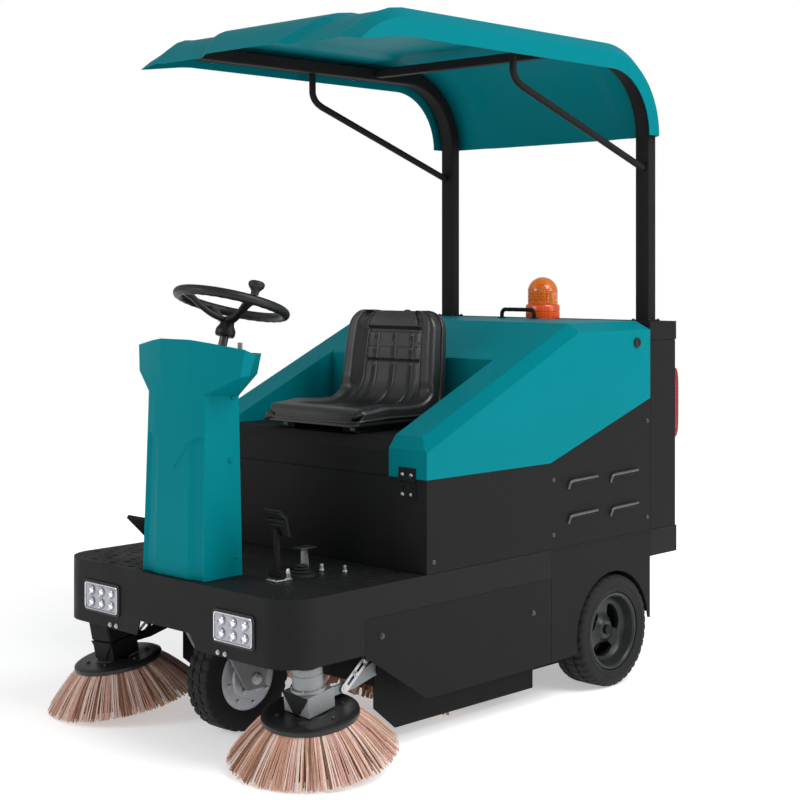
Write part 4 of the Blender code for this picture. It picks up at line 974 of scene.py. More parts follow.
def seat_mesh():
    """The seat as one closed moulding: its mesh, and the rows of points of its two faces."""
    front = curve_points([Vector((0, y, z)) for y, z in SEAT_LINE], 10)
    under = curve_points([Vector((0, y, z)) for y, z in SEAT_UNDER], 10)
    count = len(front)
    run = [0.0]
    for p, q in zip(front, front[1:]):
        run.append(run[-1] + (q - p).length)
    total = run[-1]
    columns = 112
    grid_front, grid_under = [], []
    for i in range(count):
        t = run[i] / total
        p = front[i]
        along = (front[min(i + 1, count - 1)] - front[max(i - 1, 0)]).normalized()
        normal = Vector((0.0, -along.z, along.y))
        back = smoothstep(0.885, 0.93, p.z) if p.y > 0.75 else 0.0
        base = 1.0 - back
        half = 0.196 * base + back * (0.1905 - 0.080 * (max(0.0, p.z - 0.90)) ** 1.15)
        top_left = max(0.0, (t - 0.915) / 0.085)
        half -= 0.052 * (1.0 - math.sqrt(max(0.0, 1.0 - top_left ** 2)))
        nose = max(0.0, (0.035 - run[i]) / 0.035)
        half -= 0.030 * (1.0 - math.sqrt(max(0.0, 1.0 - nose ** 2)))
        row_f, row_u = [], []
        for k in range(columns + 1):
            s = -1 + 2 * k / columns
            u = math.sin(s * math.pi / 2)
            edge = abs(u)
            x = u * half
            raised = 0.0
            # bolsters down both sides of the cushion and the back
            lift = 0.0125 * base + 0.0240 * back
            fall = smoothstep(0.60, 0.80, edge)
            raised += lift * fall * smoothstep(0.045, 0.14, run[i])
            raised -= (0.0045 * ridge(edge - 0.625, 0.035) * smoothstep(0.06, 0.12, run[i])
                       * (1 - smoothstep(0.965, 0.99, t)))
            # the hollow the driver sits in
            raised -= (0.0050 * base + 0.0065 * back) * (1.0 - edge ** 2) * smoothstep(0.05, 0.2, run[i])
            # the moulded edge of the head of the backrest
            if back > 0.5:
                raised += 0.0120 * smoothstep(1.075, 1.092, p.z) * (1 - smoothstep(0.56, 0.70, edge))
                # three level channels across the panel
                inside = 1.0 - smoothstep(0.58, 0.62, edge)
                for level in (0.985, 1.032, 1.076):
                    raised -= 0.0052 * ridge(p.z - level, 0.0030) * inside
                # upright welts, broken where a channel crosses them
            gap = 1.0
            for level in (0.985, 1.032, 1.076):
                gap *= 1.0 - ridge(p.z - level, 0.0085)
            reach = 1.0 - smoothstep(1.062, 1.070, p.z)
            start = smoothstep(0.255, 0.275, run[i])
            for mark in (-0.40, 0.0, 0.40):
                raised += 0.0056 * ridge(u - mark, 0.018) * gap * reach * start
                raised -= 0.0022 * ridge(u - mark - 0.045, 0.022) * gap * reach * start
            # short slits across the cushion
            if base > 0.5 and 0.09 < run[i] < 0.24:
                wave = sum(math.exp(-(((run[i] - middle) / 0.020) ** 4)) for middle in (0.135, 0.195))
                for mark in (-0.40, -0.13, 0.13, 0.40):
                    raised += 0.0032 * ridge(u - mark, 0.016) * wave
            # round over the rim
            round_over = 1.0 - math.sqrt(max(0.0, 1.0 - max(0.0, (edge - 0.90) / 0.10) ** 2))
            q = p + normal * (raised - 0.0165 * round_over)
            row_f.append(Vector((x, q.y, q.z)))
            w = under[i]
            ease = 0.010 * round_over
            row_u.append(Vector((x * 0.995, w.y + (normal.y * ease), w.z + (normal.z * ease))))
        grid_front.append(row_f)
        grid_under.append(row_u)
    work = bmesh.new()
    fv = [[work.verts.new(Vector((p.x, p.y + F, p.z))) for p in row] for row in grid_front]
    uv = [[work.verts.new(Vector((p.x, p.y + F, p.z))) for p in row] for row in grid_under]
    for i in range(count - 1):
        for k in range(columns):
            work.faces.new((fv[i][k], fv[i][k + 1], fv[i + 1][k + 1], fv[i + 1][k]))
            work.faces.new((uv[i][k], uv[i + 1][k], uv[i + 1][k + 1], uv[i][k + 1]))
        for k in (0, columns):
            work.faces.new((fv[i][k], fv[i + 1][k], uv[i + 1][k], uv[i][k]))
    for i in (0, count - 1):
        for k in range(columns):
            work.faces.new((fv[i][k], fv[i][k + 1], uv[i][k + 1], uv[i][k]))
    return work, grid_front, grid_under


work, seat_front, seat_under = seat_mesh()
seat = finish_mesh("seat_moulding", work, VINYL, "hood", angle=65.0)
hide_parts("seat_cushion")
# piping round the rim of the moulding, where cover and shell meet
loop = []
count = len(seat_front)
for i in range(0, count, 3):
    p, q = seat_front[i][-1], seat_under[i][-1]
    loop.append(p.lerp(q, 0.62) + Vector((0.0012, F, 0)))
head = [seat_front[-1][k].lerp(seat_under[-1][k], 0.62) + Vector((0, F, 0.0012))
        for k in range(112, -1, -8)]
far = []
for i in range(count - 1, -1, -3):
    p, q = seat_front[i][0], seat_under[i][0]
    far.append(p.lerp(q, 0.62) + Vector((-0.0012, F, 0)))
nose = [seat_front[0][k].lerp(seat_under[0][k], 0.62) + Vector((0, F - 0.0012, 0))
        for k in range(0, 113, 8)]
tube("seat_piping", loop + head[1:-1] + far + nose[1:-1], 0.0042, PIPING, "hood", sides=10, closed=True)
for side, s in SIDES:
    rail = bmesh.new()
    add_box(rail, tuple(at(s * 0.140 - 0.016, 0.560, 0.7972)), tuple(at(s * 0.140 + 0.016, 0.840, 0.8022)))
    add_box(rail, tuple(at(s * 0.140 - 0.010, 0.550, 0.8018)), tuple(at(s * 0.140 + 0.010, 0.850, 0.8128)))
    finish_mesh("seat_rail_" + side, rail, BOLT, "hood")

# ---------------------------------------------------------------- wheels

def tread(blocks, depth, land, skew=0.0, width=0.045):
    """Radius of a tyre with cross grooves cut where its profile is in the tread."""
    def shape(r, z, a):
        if r < land:
            return r
        phase = (a * blocks / (2 * math.pi) + skew * abs(z) / width) % 1.0
        groove = 1.0 if 0.34 < phase < 0.66 else 0.0
        centre_band = abs(z) < width * 0.16
        return r - depth * (0.0 if centre_band else groove)
    return shape


SPIN = Matrix.Rotation(math.pi / 2, 4, "Y")
front_centre = at(0.0, 0.250, 0.150)
profile = [(0.0926, 0.040), (0.100, 0.0440), (0.122, 0.0450), (0.134, 0.0440), (0.1385, 0.0425),
           (0.1465, 0.0405), (0.1490, 0.0370), (0.1498, 0.0310), (0.1499, 0.0165), (0.1455, 0.0160),
           (0.1455, 0.0125), (0.1499, 0.0120),
           (0.1500, 0.0)]
profile = profile + [(r, -z) for r, z in profile[-2::-1]]
made = lathe("front_tyre_tread", profile, RUBBER, "front_wheel", Matrix.Translation(front_centre) @ SPIN,
             180, closed=True, angle=38.0,
             wave=tread(30, 0.0042, 0.142, 0.5), replaces=["front_tyre"])
hub = [(0.0108, 0.0575), (0.024, 0.0578), (0.026, 0.0560), (0.030, 0.0545), (0.052, 0.0545),
       (0.058, 0.0520), (0.061, 0.0480), (0.068, 0.0465), (0.076, 0.0470), (0.082, 0.0455), (0.088, 0.0430),
       (0.0918, 0.0405)]
hub = hub + [(r, -z) for r, z in hub[::-1]]
made = lathe("front_hub_casting", hub, HUB, "front_wheel", Matrix.Translation(front_centre) @ SPIN, 72,
             closed=True, angle=30.0,
             replaces=["front_hub_motor"])
for tag, s in (("a", 1.0), ("b", -1.0)):
    bolts("front_hub_bolts_" + tag, around_axle(front_centre, 0.0405, s * 0.0545, 5, 18.0), (s, 0, 0),
          0.0078, 0.0075, ZINC, "front_wheel")
    bolts("front_rim_bolts_" + tag, around_axle(front_centre, 0.0735, s * 0.0462, 8, 10.0), (s, 0, 0),
          0.0048, 0.0050, ZINC, "front_wheel")
    lathe("front_hub_cap_" + tag,
          [(0.0, 0.0045), (0.0120, 0.0042), (0.0165, 0.0030), (0.0178, 0.0), (0.0, 0.0)], ZINC, "fork",
          placed(front_centre + Vector((s * 0.0772, 0, 0)), (s, 0, 0)), 32)
refine("front_fork", CAST, 0.0020, 2)

for side, s in SIDES:
    low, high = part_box("rear_tyre_" + side)
    centre = (low + high) / 2
    m = Matrix.Translation(centre) @ Matrix.Rotation(s * math.pi / 2, 4, "Y")
    h = (high.x - low.x) / 2
    profile = [(0.1168, h - 0.0050), (0.122, h - 0.0020), (0.131, h - 0.0008), (0.1325, h - 0.0022),
               (0.1385, h - 0.0018), (0.1400, h - 0.0004), (0.1540, h - 0.0018), (0.1615, h - 0.0050),
               (0.1655, h - 0.0100), (0.1672, h - 0.0170), (0.1678, 0.0240), (0.1630, 0.0230),
               (0.1630, 0.0170), (0.1678, 0.0160), (0.1680, 0.0)]
    profile = profile + [(r, -z) for r, z in profile[-2::-1]]
    made = lathe("rear_tyre_tread_" + side, profile, RUBBER, "rear_wheel_" + side, m, 216, closed=True,
                 angle=38.0,
                 wave=tread(40, 0.0038, 0.158, 0.6, h), replaces=["rear_tyre_" + side])
    dish = [(0.0148, 0.026), (0.026, 0.0265), (0.030, 0.0235), (0.034, 0.0180), (0.044, 0.0125),
            (0.056, 0.0105), (0.080, 0.0120), (0.090, 0.0165), (0.097, 0.0240), (0.102, h - 0.014),
            (0.1060, h - 0.0085), (0.1100, h - 0.0068), (0.1135, h - 0.0072), (0.1158, h - 0.0105),
            (0.1158, -h + 0.0060), (0.1120, -h + 0.0050), (0.104, -h + 0.0060), (0.098, -h + 0.0140),
            (0.094, -0.006), (0.084, 0.0010), (0.056, -0.0010), (0.044, -0.0050), (0.030, -0.0180),
            (0.026, -0.0215), (0.0148, -0.0215)]
    rim = lathe("rear_rim_dish_" + side, dish, RIM, None, Matrix.Identity(4), 96, closed=True, angle=30.0)
    tool = bmesh.new()
    for k in range(3):
        ring = Matrix.Rotation(math.radians(120 * k) + (0.0 if s > 0 else math.pi), 4, "Z")
        outline = []
        for r, turn in ((0.083, 1.0), (0.041, -1.0)):
            reach = 40.0 if turn > 0 else 30.0
            for j in range(13):
                b = math.radians(turn * (-reach + 2 * reach * j / 12))
                ease_in = 1.0 - 0.10 * turn * (abs(j - 6) / 6.0) ** 4
                outline.append((r * ease_in * math.cos(b), r * ease_in * math.sin(b)))
        lower = [tool.verts.new(ring @ Vector((x, y, -0.03))) for x, y in outline]
        upper = [tool.verts.new(ring @ Vector((x, y, 0.05))) for x, y in outline]
        for j in range(len(outline)):
            m_j = (j + 1) % len(outline)
            tool.faces.new((lower[j], lower[m_j], upper[m_j], upper[j]))
        tool.faces.new(lower[::-1])
        tool.faces.new(upper)
    cutter = finish_mesh("rim_openings", tool, BLACK, smooth=False)
    cutting = rim.modifiers.new("openings", "BOOLEAN")
    cutting.operation = "DIFFERENCE"
    cutting.object = cutter
    lips = rim.modifiers.new("lips", "BEVEL")
    lips.width, lips.segments = 0.0022, 2
    lips.limit_method = "ANGLE"
    lips.angle_limit = math.radians(50)
    lips.use_clamp_overlap = True
    apply_all(rim)
    bpy.data.objects.remove(cutter, do_unlink=True)
    rim.data.transform(m)
    even_shading(rim, 40)
    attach(rim, "rear_wheel_" + side)
    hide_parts("rear_rim_" + side)
    nuts = around_axle(centre, 0.0225, s * 0.0230, 4, 30.0)
    bolts("rear_wheel_nuts_" + side, nuts, (s, 0, 0), 0.0035, 0.0050, BOLT, "rear_wheel_" + side)
    lathe("rear_hub_cap_" + side,
          [(0.0, 0.0070), (0.0080, 0.0068), (0.0120, 0.0050), (0.0138, 0.0), (0.0, 0.0)], BLACK,
          "rear_wheel_" + side,
          placed(centre + Vector((s * 0.0258, 0, 0)), (s, 0, 0)), 32)

# a liner closes each wheel arch behind its panel, from the front of the tyre over to the back
for side, s in SIDES:
    low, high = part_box("rear_tyre_" + side)
    middle = (low + high) / 2
    liner = bmesh.new()
    rings = []
    for k in range(49):
        a = math.radians(10.0 + 160.0 * k / 48)
        rings.append([liner.verts.new(Vector((s * x, middle.y + r * math.cos(a),
                                              middle.z + r * math.sin(a))))
                      for x, r in ((0.350, 0.1790), (0.4775, 0.1790), (0.4775, 0.1815), (0.350, 0.1815))])
    for p, q in zip(rings, rings[1:]):
        for k in range(4):
            liner.faces.new((p[k], p[(k + 1) % 4], q[(k + 1) % 4], q[k]))
    liner.faces.new(rings[0][::-1])
    liner.faces.new(rings[-1])
    finish_mesh("wheel_arch_liner_" + side, liner, BLACK, "chassis", angle=40.0)

# ---------------------------------------------------------------- brushes


def strand(work, points, width, thick, flat):
    """One thin bristle bundle: a tapered four-sided strip along its points."""
    rings = []
    count = len(points)
    for i, p in enumerate(points):
        along = (points[min(i + 1, count - 1)] - points[max(i - 1, 0)]).normalized()
        side = along.cross(flat).normalized()
        up = side.cross(along)
        t = i / (count - 1)
        w = width * (0.75 + 0.55 * t)
        d = thick * (1.0 - 0.35 * t)
        rings.append([work.verts.new(p + side * a * w + up * b * d)
                      for a, b in ((-1, -0.6), (1, -0.6), (0.8, 0.6), (-0.8, 0.6))])
    for a, b in zip(rings, rings[1:]):
        for k in range(4):
            work.faces.new((a[k], a[(k + 1) % 4], b[(k + 1) % 4], b[k]))
    work.faces.new(rings[0][::-1])
    work.faces.new(rings[-1])


def tone_run(generator, count):
    """A tone for each place round the brush, in short runs."""
    names = []
    while len(names) < count:
        name = generator.choices(["tan", "cream", "pink", "brown"], [0.28, 0.30, 0.27, 0.15])[0]
        names += [name] * generator.choice([1, 1, 2, 2, 3, 4])
    return names[:count]


BRUSH_TILT, BRUSH_LEAN = math.radians(10.0), math.radians(22.0)
for side, s in SIDES:
    body = "side_brush_" + side
    axis = Vector((s * math.sin(BRUSH_LEAN) * math.sin(BRUSH_TILT),
                   -math.cos(BRUSH_LEAN) * math.sin(BRUSH_TILT),
                   math.cos(BRUSH_TILT)))
    m = placed(at(s * 0.4035, 0.1435, 0.142), axis)
    made = lathe("side_plate_" + side,
                 [(0.0, 0.0112), (0.0150, 0.0112), (0.0195, 0.0090), (0.050, 0.0085), (0.053, 0.0102),
                  (0.058, 0.0102), (0.061, 0.0082), (0.098, 0.0078), (0.110, 0.0085), (0.118, 0.0070),
                  (0.1245, 0.0030), (0.1255, -0.0020), (0.1250, -0.0068),
                  (0.0, -0.0068)], PLATE, body, m, 96,
                 replaces=["side_brush_plate_" + side])
    bolts("side_plate_bolts_" + side, around(m, 0.084, 0.0080, 6), axis, 0.0050, 0.0045, BOLT, body)
    lathe("side_plate_collar_" + side,
          [(0.030, 0.0085), (0.030, 0.0115), (0.0285, 0.0122), (0.0200, 0.0122), (0.0195, 0.0092)], ZINC,
          body, m, 40,
          closed=True)
    groups = {name: bmesh.new() for name in BRISTLE_TONES}
    local = random.Random(11 if s > 0 else 23)
    rows = ((0.1215, 0.2185, 0.0, 330), (0.1150, 0.2110, 0.5, 290), (0.1085, 0.1990, 0.25, 220))
    for row, (r0, r1, shift, number) in enumerate(rows):
        tones = tone_run(local, number)
        for k in range(number):
            a = 2 * math.pi * (k + shift + local.uniform(-0.3, 0.3)) / number
            twist = local.uniform(-0.030, 0.030)
            reach = r1 + local.uniform(-0.0060, 0.0010)
            bottom = -0.1045 + local.uniform(0.0, 0.0030)
            pts = []
            for j in range(5):
                t = j / 4.0
                b = a + twist * t
                r = r0 + (reach - r0) * (t ** 0.92)
                z = -0.0072 + (bottom + 0.0072) * (t ** 1.06)
                pts.append(m @ Vector((r * math.cos(b), r * math.sin(b), z)))
            radial = (m.to_3x3() @ Vector((math.cos(a), math.sin(a), 0.9))).normalized()
            strand(groups[tones[k]], pts, 0.00135, 0.0011, radial)
    for name, work in groups.items():
        made = finish_mesh("side_bristles_%s_%s" % (name, side), work, BRISTLE[name], body, angle=50.0)
    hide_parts("side_brush_bristles_" + side)
    # a cone in the darkest bristle tone fills the ring inside the tufts: painted shade among the bristle
    # roots
    made = lathe("side_bristle_root_shade_" + side,
                 [(0.100, -0.0076), (0.1150, -0.0076), (0.1480, -0.0500), (0.1850, -0.0920),
                  (0.1810, -0.0950), (0.1400, -0.0560),
                  (0.100, -0.0150)], BRISTLE["brown"], body, m, 96, closed=True)

    arm = "brush_arm_" + side
    refine("side_brush_arm_" + side, CAST if s > 0 else BLACK, 0.0022, 2)
    if s > 0:
        made = lathe("brush_motor_can",
                     [(0.0, 0.1318), (0.0120, 0.1318), (0.0135, 0.1300), (0.0340, 0.1300), (0.0382, 0.1280),
                      (0.0396, 0.1240), (0.0396, 0.1120), (0.0386, 0.1110), (0.0386, 0.1090),
                      (0.0396, 0.1080), (0.0396, 0.0745), (0.0452, 0.0725), (0.0456, 0.0650),
                      (0.0, 0.0650)], CAST, arm, m, 64,
                     replaces=["side_brush_motor_left"])
        bolts("brush_motor_bolts", around(m, 0.0300, 0.1298, 4, 20.0), axis, 0.0034, 0.0040, ZINC, arm)
        bolts("brush_flange_bolts", around(m, 0.0425, 0.0728, 6), axis, 0.0018, 0.0026, ZINC, arm)
    else:
        refine("side_brush_motor_right", BLACK, 0.0030, 3)
        bolts("brush_case_bolts",
              [m @ Vector((dx, dy, 0.1402)) for dx in (-0.036, 0.036) for dy in (-0.038, 0.038)], axis,
              0.0042, 0.0042, ZINC, arm)
    guard = bmesh.new()
    wedge = [(-0.047, -0.0002), (0.047, -0.0002), (0.010, -0.0500), (-0.010, -0.0500)]
    low_face = [guard.verts.new(m @ Vector((x, -0.0455, 0.0640 + z))) for x, z in wedge]
    high_face = [guard.verts.new(m @ Vector((x, -0.0485, 0.0640 + z))) for x, z in wedge]
    guard.faces.new(low_face)
    guard.faces.new(high_face[::-1])
    for k in range(4):
        guard.faces.new((low_face[k], high_face[k], high_face[(k + 1) % 4], low_face[(k + 1) % 4]))
    leaf = finish_mesh("brush_guard_" + side, guard, BLACK, smooth=False)
    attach(leaf, arm)
    lathe("brush_spindle_" + side, [(0.0, 0.0640), (0.0145, 0.0640), (0.0145, 0.0120), (0.0, 0.0120)], ZINC,
          arm, m, 24)


def slotted_link(name, start, end, half, slot, thick, look, body):
    """A round-ended strap from start to end with a long slot down its middle."""
    along = (end - start).normalized()
    across = along.cross(Vector((1.0, 0.0, 0.0))).normalized()
    length = (end - start).length
    rings = []
    for radius, inset in ((half, 0.0), (slot, half * 1.3)):
        ring = []
        for cap, flip in ((inset, -1.0), (length - inset, 1.0)):
            for k in range(9):
                t = math.radians(-90.0 + 22.5 * k)
                reach = cap + flip * radius * math.cos(t)
                ring.append(start + along * reach + across * (flip * radius * math.sin(t)))
        rings.append(ring)
    work = bmesh.new()
    sheets = [[[work.verts.new(p + Vector((dx, 0, 0))) for p in ring] for ring in rings]
              for dx in (-thick / 2, thick / 2)]
    count = len(rings[0])
    for k in range(count):
        n = (k + 1) % count
        for outer, inner in sheets:
            work.faces.new((outer[k], outer[n], inner[n], inner[k]))
        for ring in (0, 1):
            a, b = sheets[0][ring], sheets[1][ring]
            work.faces.new((a[k], a[n], b[n], b[k]))
    made = finish_mesh(name, work, look, smooth=False)
    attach(made, body)
    return made


# the slotted link that lifts each side brush, with its bolts
for side, s in SIDES:
    arm = "brush_arm_" + side
    top, foot = at(s * 0.4320, 0.312, 0.252), at(s * 0.4320, 0.236, 0.190)
    slotted_link("lift_link_" + side, foot, top, 0.0125, 0.0042, 0.0030, ZINC, arm)
    bolts("lift_bolts_" + side, [top.lerp(foot, t) + Vector((s * 0.0016, 0, 0)) for t in (0.02, 0.50)],
          (s, 0, 0), 0.0062, 0.0060, ZINC, arm)
    tube("lift_pin_" + side, [at(s * 0.4265, 0.236, 0.190), at(s * 0.4345, 0.236, 0.190)], 0.0060, ZINC,
         arm, sides=16)

# bracket and adjuster behind the front wall, on each side
for side, s in SIDES:
    plate = bmesh.new()
    add_box(plate, tuple(at(s * 0.300 - 0.0025, 0.040, 0.300)),
            tuple(at(s * 0.300 + 0.0025, 0.170, 0.4435)))
    add_box(plate, tuple(at(s * 0.322 - 0.024, 0.040, 0.296)), tuple(at(s * 0.322 + 0.024, 0.170, 0.3005)))
    leaf = finish_mesh("brush_bracket_" + side, plate, BLACK, smooth=False)
    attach(leaf, "chassis")
    adj = placed(at(s * 0.322, 0.100, 0.2965), (0, 0, -1))
    work = bmesh.new()
    thread = [(0.0, 0.046)]
    for k in range(14):
        thread += [(0.0044, 0.0455 - 0.0030 * k), (0.0036, 0.0440 - 0.0030 * k)]
    thread += [(0.0044, 0.0), (0.0, 0.0)]
    add_lathe(work, thread, adj, 14)
    add_hex_bolt(work, adj @ Matrix.Translation((0, 0, 0.010)), 0.0085, 0.0065)
    finish_mesh("brush_adjuster_" + side, work, ZINC, "chassis", angle=30.0)

# the broom: a core with helical rows of bristle
broom_centre = at(0.0, 0.720, 0.142)
made = lathe("broom_core",
             [(0.0, 0.3950), (0.0115, 0.3950), (0.0115, 0.3500), (0.085, 0.3495), (0.0885, 0.3460),
              (0.0885, -0.3460), (0.085, -0.3495), (0.0115, -0.3500), (0.0115, -0.3950),
              (0.0, -0.3950)], BLACK, "main_brush",
             Matrix.Translation(broom_centre) @ SPIN, 48, replaces=["main_brush"])
groups = {name: bmesh.new() for name in ("tan", "brown", "cream")}
for row in range(10):
    for k in range(58):
        x = -0.342 + 0.684 * k / 57
        a = 2 * math.pi * row / 10 + 1.6 * (abs(x) / 0.342) + rng.uniform(-0.04, 0.04)
        tip = 0.1372 - rng.uniform(0, 0.003)
        pts = [broom_centre + Vector((x + rng.uniform(-0.002, 0.002), r * math.cos(a + e),
                                      r * math.sin(a + e)))
               for r, e in ((0.086, 0.0), (0.112, 0.02), (tip, 0.05))]
        strand(groups[rng.choice(["tan", "tan", "brown", "cream"])], pts, 0.0046, 0.0030,
               Vector((0.0, -math.sin(a), math.cos(a))))
for name, work in groups.items():
    made = finish_mesh("broom_bristles_" + name, work, BRISTLE[name], "main_brush", angle=50.0)

# ---------------------------------------------------------------- headlights

for side, s in SIDES:
    low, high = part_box("headlight_" + side)
    cx, cz = (low.x + high.x) / 2, 0.3555
    face_y = at(0, 0.0, 0).y
    m = Matrix.Translation((cx, face_y, cz)) @ Matrix.Rotation(math.pi / 2, 4, "X")
    shell = rounded_plate("headlight_case_" + side, 0.0805, 0.0435, 0.012, 0.0045, m, PLASTIC, "chassis")
    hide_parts("headlight_" + side)
    pan = bmesh.new()
    rings = []
    for hx, hy, rad, z in ((0.0740, 0.0370, 0.0085, 0.0046), (0.0738, 0.0368, 0.0085, 0.0068),
                           (0.0728, 0.0358, 0.0080, 0.0073), (0.0712, 0.0342, 0.0075, 0.0066),
                           (0.0708, 0.0338, 0.0073, 0.0052)):
        rings.append([(ex * (hx - rad) + rad * math.cos(t), ey * (hy - rad) + rad * math.sin(t), z)
                      for ex, ey, start in ((1, 1, 0), (-1, 1, 90), (-1, -1, 180), (1, -1, 270))
                      for t in (math.radians(start + 15.0 * k) for k in range(7))])
    rings = [[pan.verts.new(m @ Vector(p)) for p in ring] for ring in rings]
    for p, q in zip(rings, rings[1:]):
        for k in range(28):
            pan.faces.new((p[k], p[(k + 1) % 28], q[(k + 1) % 28], q[k]))
    for k in range(28):
        pan.faces.new((rings[-1][k], rings[-1][(k + 1) % 28], rings[0][(k + 1) % 28], rings[0][k]))
    made = finish_mesh("headlight_rim_" + side, pan, CHROME, "chassis", angle=40.0)
    bed = rounded_plate("headlight_bed_" + side, 0.0712, 0.0342, 0.0075, 0.0004,
                        m @ Matrix.Translation((0, 0, 0.0046)), REFLECTOR, "chassis")
    bowls, leds = bmesh.new(), bmesh.new()
    for ix in (-1, 0, 1):
        for iz in (-1, 1):
            place = m @ Matrix.Translation((ix * 0.0445, iz * 0.0163, 0.0))
            add_lathe(bowls, [(0.0, 0.0051), (0.0095, 0.0051), (0.0125, 0.0060), (0.0138, 0.0070),
                              (0.0146, 0.0068), (0.0146, 0.0048)], place, 32)
            add_lathe(leds, [(0.0088, 0.0050), (0.0086, 0.0062), (0.0066, 0.0071), (0.0036, 0.0074),
                             (0.0, 0.0075)], place, 24)
    for name, work, look in (("headlight_bowls_", bowls, REFLECTOR), ("headlight_leds_", leds, CHROME)):
        made = finish_mesh(name + side, work, look, "chassis", angle=40.0)
    tabs = [at(s * 0.215, -0.0001, 0.2870), at(s * 0.243, -0.0001, 0.2870)]
    bolts("fascia_bolts_" + side, tabs, (0, -1, 0), 0.0048, 0.0045, ZINC, "chassis")

# ---------------------------------------------------------------- pedals and levers on the deck

refine("accelerator_pedal", BLACK, 0.0012, 2)
ribs = bmesh.new()
run = Vector((0.0, -0.118, 0.104)).normalized()
normal = Vector((0.0, run.z, -run.y))
for k in range(9):
    p = at(-0.250, 0.2015, 0.4735) + run * (0.016 + 0.0145 * k)
    m = Matrix.Translation(p) @ Matrix((Vector((1, 0, 0)), run, normal)).transposed().to_4x4()
    add_box(ribs, (-0.034, -0.0035, -0.004), (0.034, 0.0035, 0.0022), m, taper=0.92)
finish_mesh("accelerator_ribs", ribs, RUBBER, "accelerator")
refine("brake_pedal", BLACK, 0.0010, 2)
grips = bmesh.new()
for k in range(4):
    p = at(0.248, 0.1540 + 0.0060 * k, 0.6323 - 0.0125 * k)
    m = Matrix.Translation(p) @ Matrix.Rotation(math.radians(-52 - 6 * k), 4, "X")
    add_box(grips, (-0.031, -0.0036, -0.003), (0.031, 0.0036, 0.0018), m)
finish_mesh("brake_pad_ribs", grips, RUBBER, "brake")


def lever_plate(name, points, x0, x1, look):
    work = bmesh.new()
    a = [work.verts.new(at(x0, y, z)) for y, z in points]
    b = [work.verts.new(at(x1, y, z)) for y, z in points]
    work.faces.new(a)
    work.faces.new(b[::-1])
    for k in range(len(a)):
        n = (k + 1) % len(a)
        work.faces.new((a[k], b[k], b[n], a[n]))
    made = finish_mesh(name, work, look, smooth=False)
    crisp_edges(made, 0.0008)
    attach(made, "chassis")
    return made


lever_plate("parking_lever_plate", [(0.305, 0.4493), (0.335, 0.4493), (0.330, 0.507), (0.306, 0.507)],
            0.190, 0.1935, CAST)
lever_plate("parking_lever_head", [(0.290, 0.507), (0.345, 0.507), (0.345, 0.5125), (0.290, 0.5125)], 0.176,
            0.212, BOLT)
lever_plate("brake_foot_plate", [(0.150, 0.4493), (0.205, 0.4493), (0.205, 0.4535), (0.150, 0.4535)], 0.226,
            0.270, ZINC)
lever_plate("brake_foot_ear", [(0.182, 0.4535), (0.205, 0.4535), (0.198, 0.4790), (0.189, 0.4790)], 0.2625,
            0.2660, ZINC)
bolts("deck_studs", [at(0.232, 0.345, 0.4493), at(0.290, 0.375, 0.4493)], (0, 0, 1), 0.0052, 0.0180, ZINC,
      "chassis")
lathe("lever_boot", [(0.0, 0.030), (0.010, 0.030), (0.016, 0.026), (0.014, 0.023), (0.022, 0.019),
                     (0.019, 0.016), (0.028, 0.011), (0.025, 0.008), (0.034, 0.004), (0.036, 0.0),
                     (0.0, 0.0)], RUBBER, "chassis",
      placed(at(0.245, 0.262, 0.4494), (0, 0, 1)), 36)

# ---------------------------------------------------------------- floor, light and camera

floor_mesh = bmesh.new()
for x, y in ((-9, -9), (9, -9), (9, 9), (-9, 9)):
    floor_mesh.verts.new((x, y, -0.0008))
floor_mesh.faces.new(floor_mesh.verts[:])
FLOOR, tree, shader = new_material("pale_floor")
shader.inputs["Base Color"].default_value = (0.93, 0.93, 0.93, 1.0)
shader.inputs["Roughness"].default_value = 0.7
shader.inputs["Specular IOR Level"].default_value = 0.2
shader.inputs["Emission Color"].default_value = (1.0, 1.0, 1.0, 1.0)
where = tree.nodes.new("ShaderNodeTexCoord")
away = tree.nodes.new("ShaderNodeVectorMath")
away.operation = "LENGTH"
fade = tree.nodes.new("ShaderNodeMapRange")
fade.inputs["From Min"].default_value = 1.3
fade.inputs["From Max"].default_value = 3.4
fade.inputs["To Min"].default_value = 0.42
fade.inputs["To Max"].default_value = 0.62
tree.links.new(where.outputs["Object"], away.inputs[0])
tree.links.new(away.outputs["Value"], fade.inputs["Value"])
tree.links.new(fade.outputs["Result"], shader.inputs["Emission Strength"])
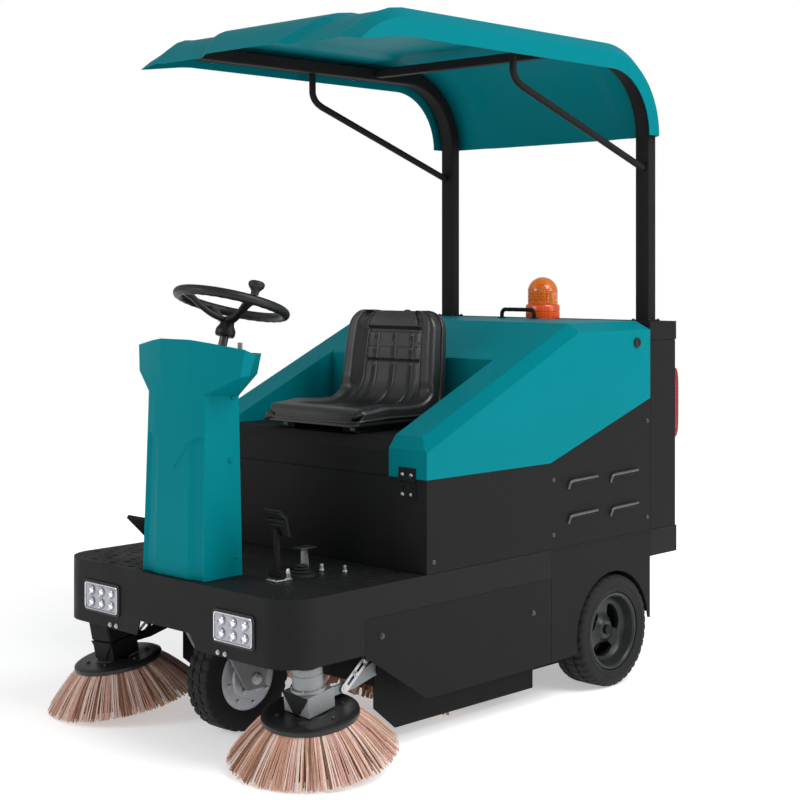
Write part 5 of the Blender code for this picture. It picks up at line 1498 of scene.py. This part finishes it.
floor = finish_mesh("floor", floor_mesh, FLOOR, smooth=False)

world = bpy.data.worlds.new("studio")
bpy.context.scene.world = world
world.use_nodes = True
shade = world.node_tree
soft = shade.nodes["Background"]
soft.inputs["Color"].default_value = (1.0, 1.0, 1.0, 1.0)
soft.inputs["Strength"].default_value = 0.45
backdrop = shade.nodes.new("ShaderNodeBackground")
backdrop.inputs["Color"].default_value = (1.0, 1.0, 1.0, 1.0)
backdrop.inputs["Strength"].default_value = 1.0
chosen = shade.nodes.new("ShaderNodeMixShader")
shade.links.new(shade.nodes.new("ShaderNodeLightPath").outputs["Is Camera Ray"], chosen.inputs[0])
shade.links.new(soft.outputs[0], chosen.inputs[1])
shade.links.new(backdrop.outputs[0], chosen.inputs[2])
shade.links.new(chosen.outputs[0], shade.nodes["World Output"].inputs["Surface"])
bpy.context.scene.view_settings.view_transform = "Standard"


def area_light(name, place, target, size, power, colour=(1.0, 1.0, 1.0)):
    """A rectangular lamp at place, facing target."""
    data = bpy.data.lights.new(name, "AREA")
    data.shape = "RECTANGLE"
    data.size, data.size_y = size
    data.energy = power
    data.color = colour
    made = bpy.data.objects.new(name, data)
    bpy.context.scene.collection.objects.link(made)
    made.location = place
    made.rotation_euler = (Vector(target) - Vector(place)).to_track_quat("-Z", "Y").to_euler()
    return made


area_light("key_light", (3.4, 0.4, 4.4), (0.0, 0.0, 0.8), (2.6, 2.6), 160.0)
area_light("left_fill", (4.2, 1.6, 2.2), (0.0, 0.2, 0.8), (2.4, 2.4), 54.0)
area_light("front_fill", (-1.8, -4.6, 2.4), (0.0, 0.0, 0.8), (2.6, 2.0), 64.0)

camera_data = bpy.data.cameras.new("camera")
camera_data.sensor_width = 36.0
camera_data.lens = 71.28
camera_data.shift_y = -0.16
camera_data.clip_end = 60.0
camera = bpy.data.objects.new("camera", camera_data)
bpy.context.scene.collection.objects.link(camera)
camera.location = (3.3235, -2.5756 + F, 1.25)
camera.rotation_euler = (math.pi / 2, 0.0, math.radians(43.8))
bpy.context.scene.camera = camera
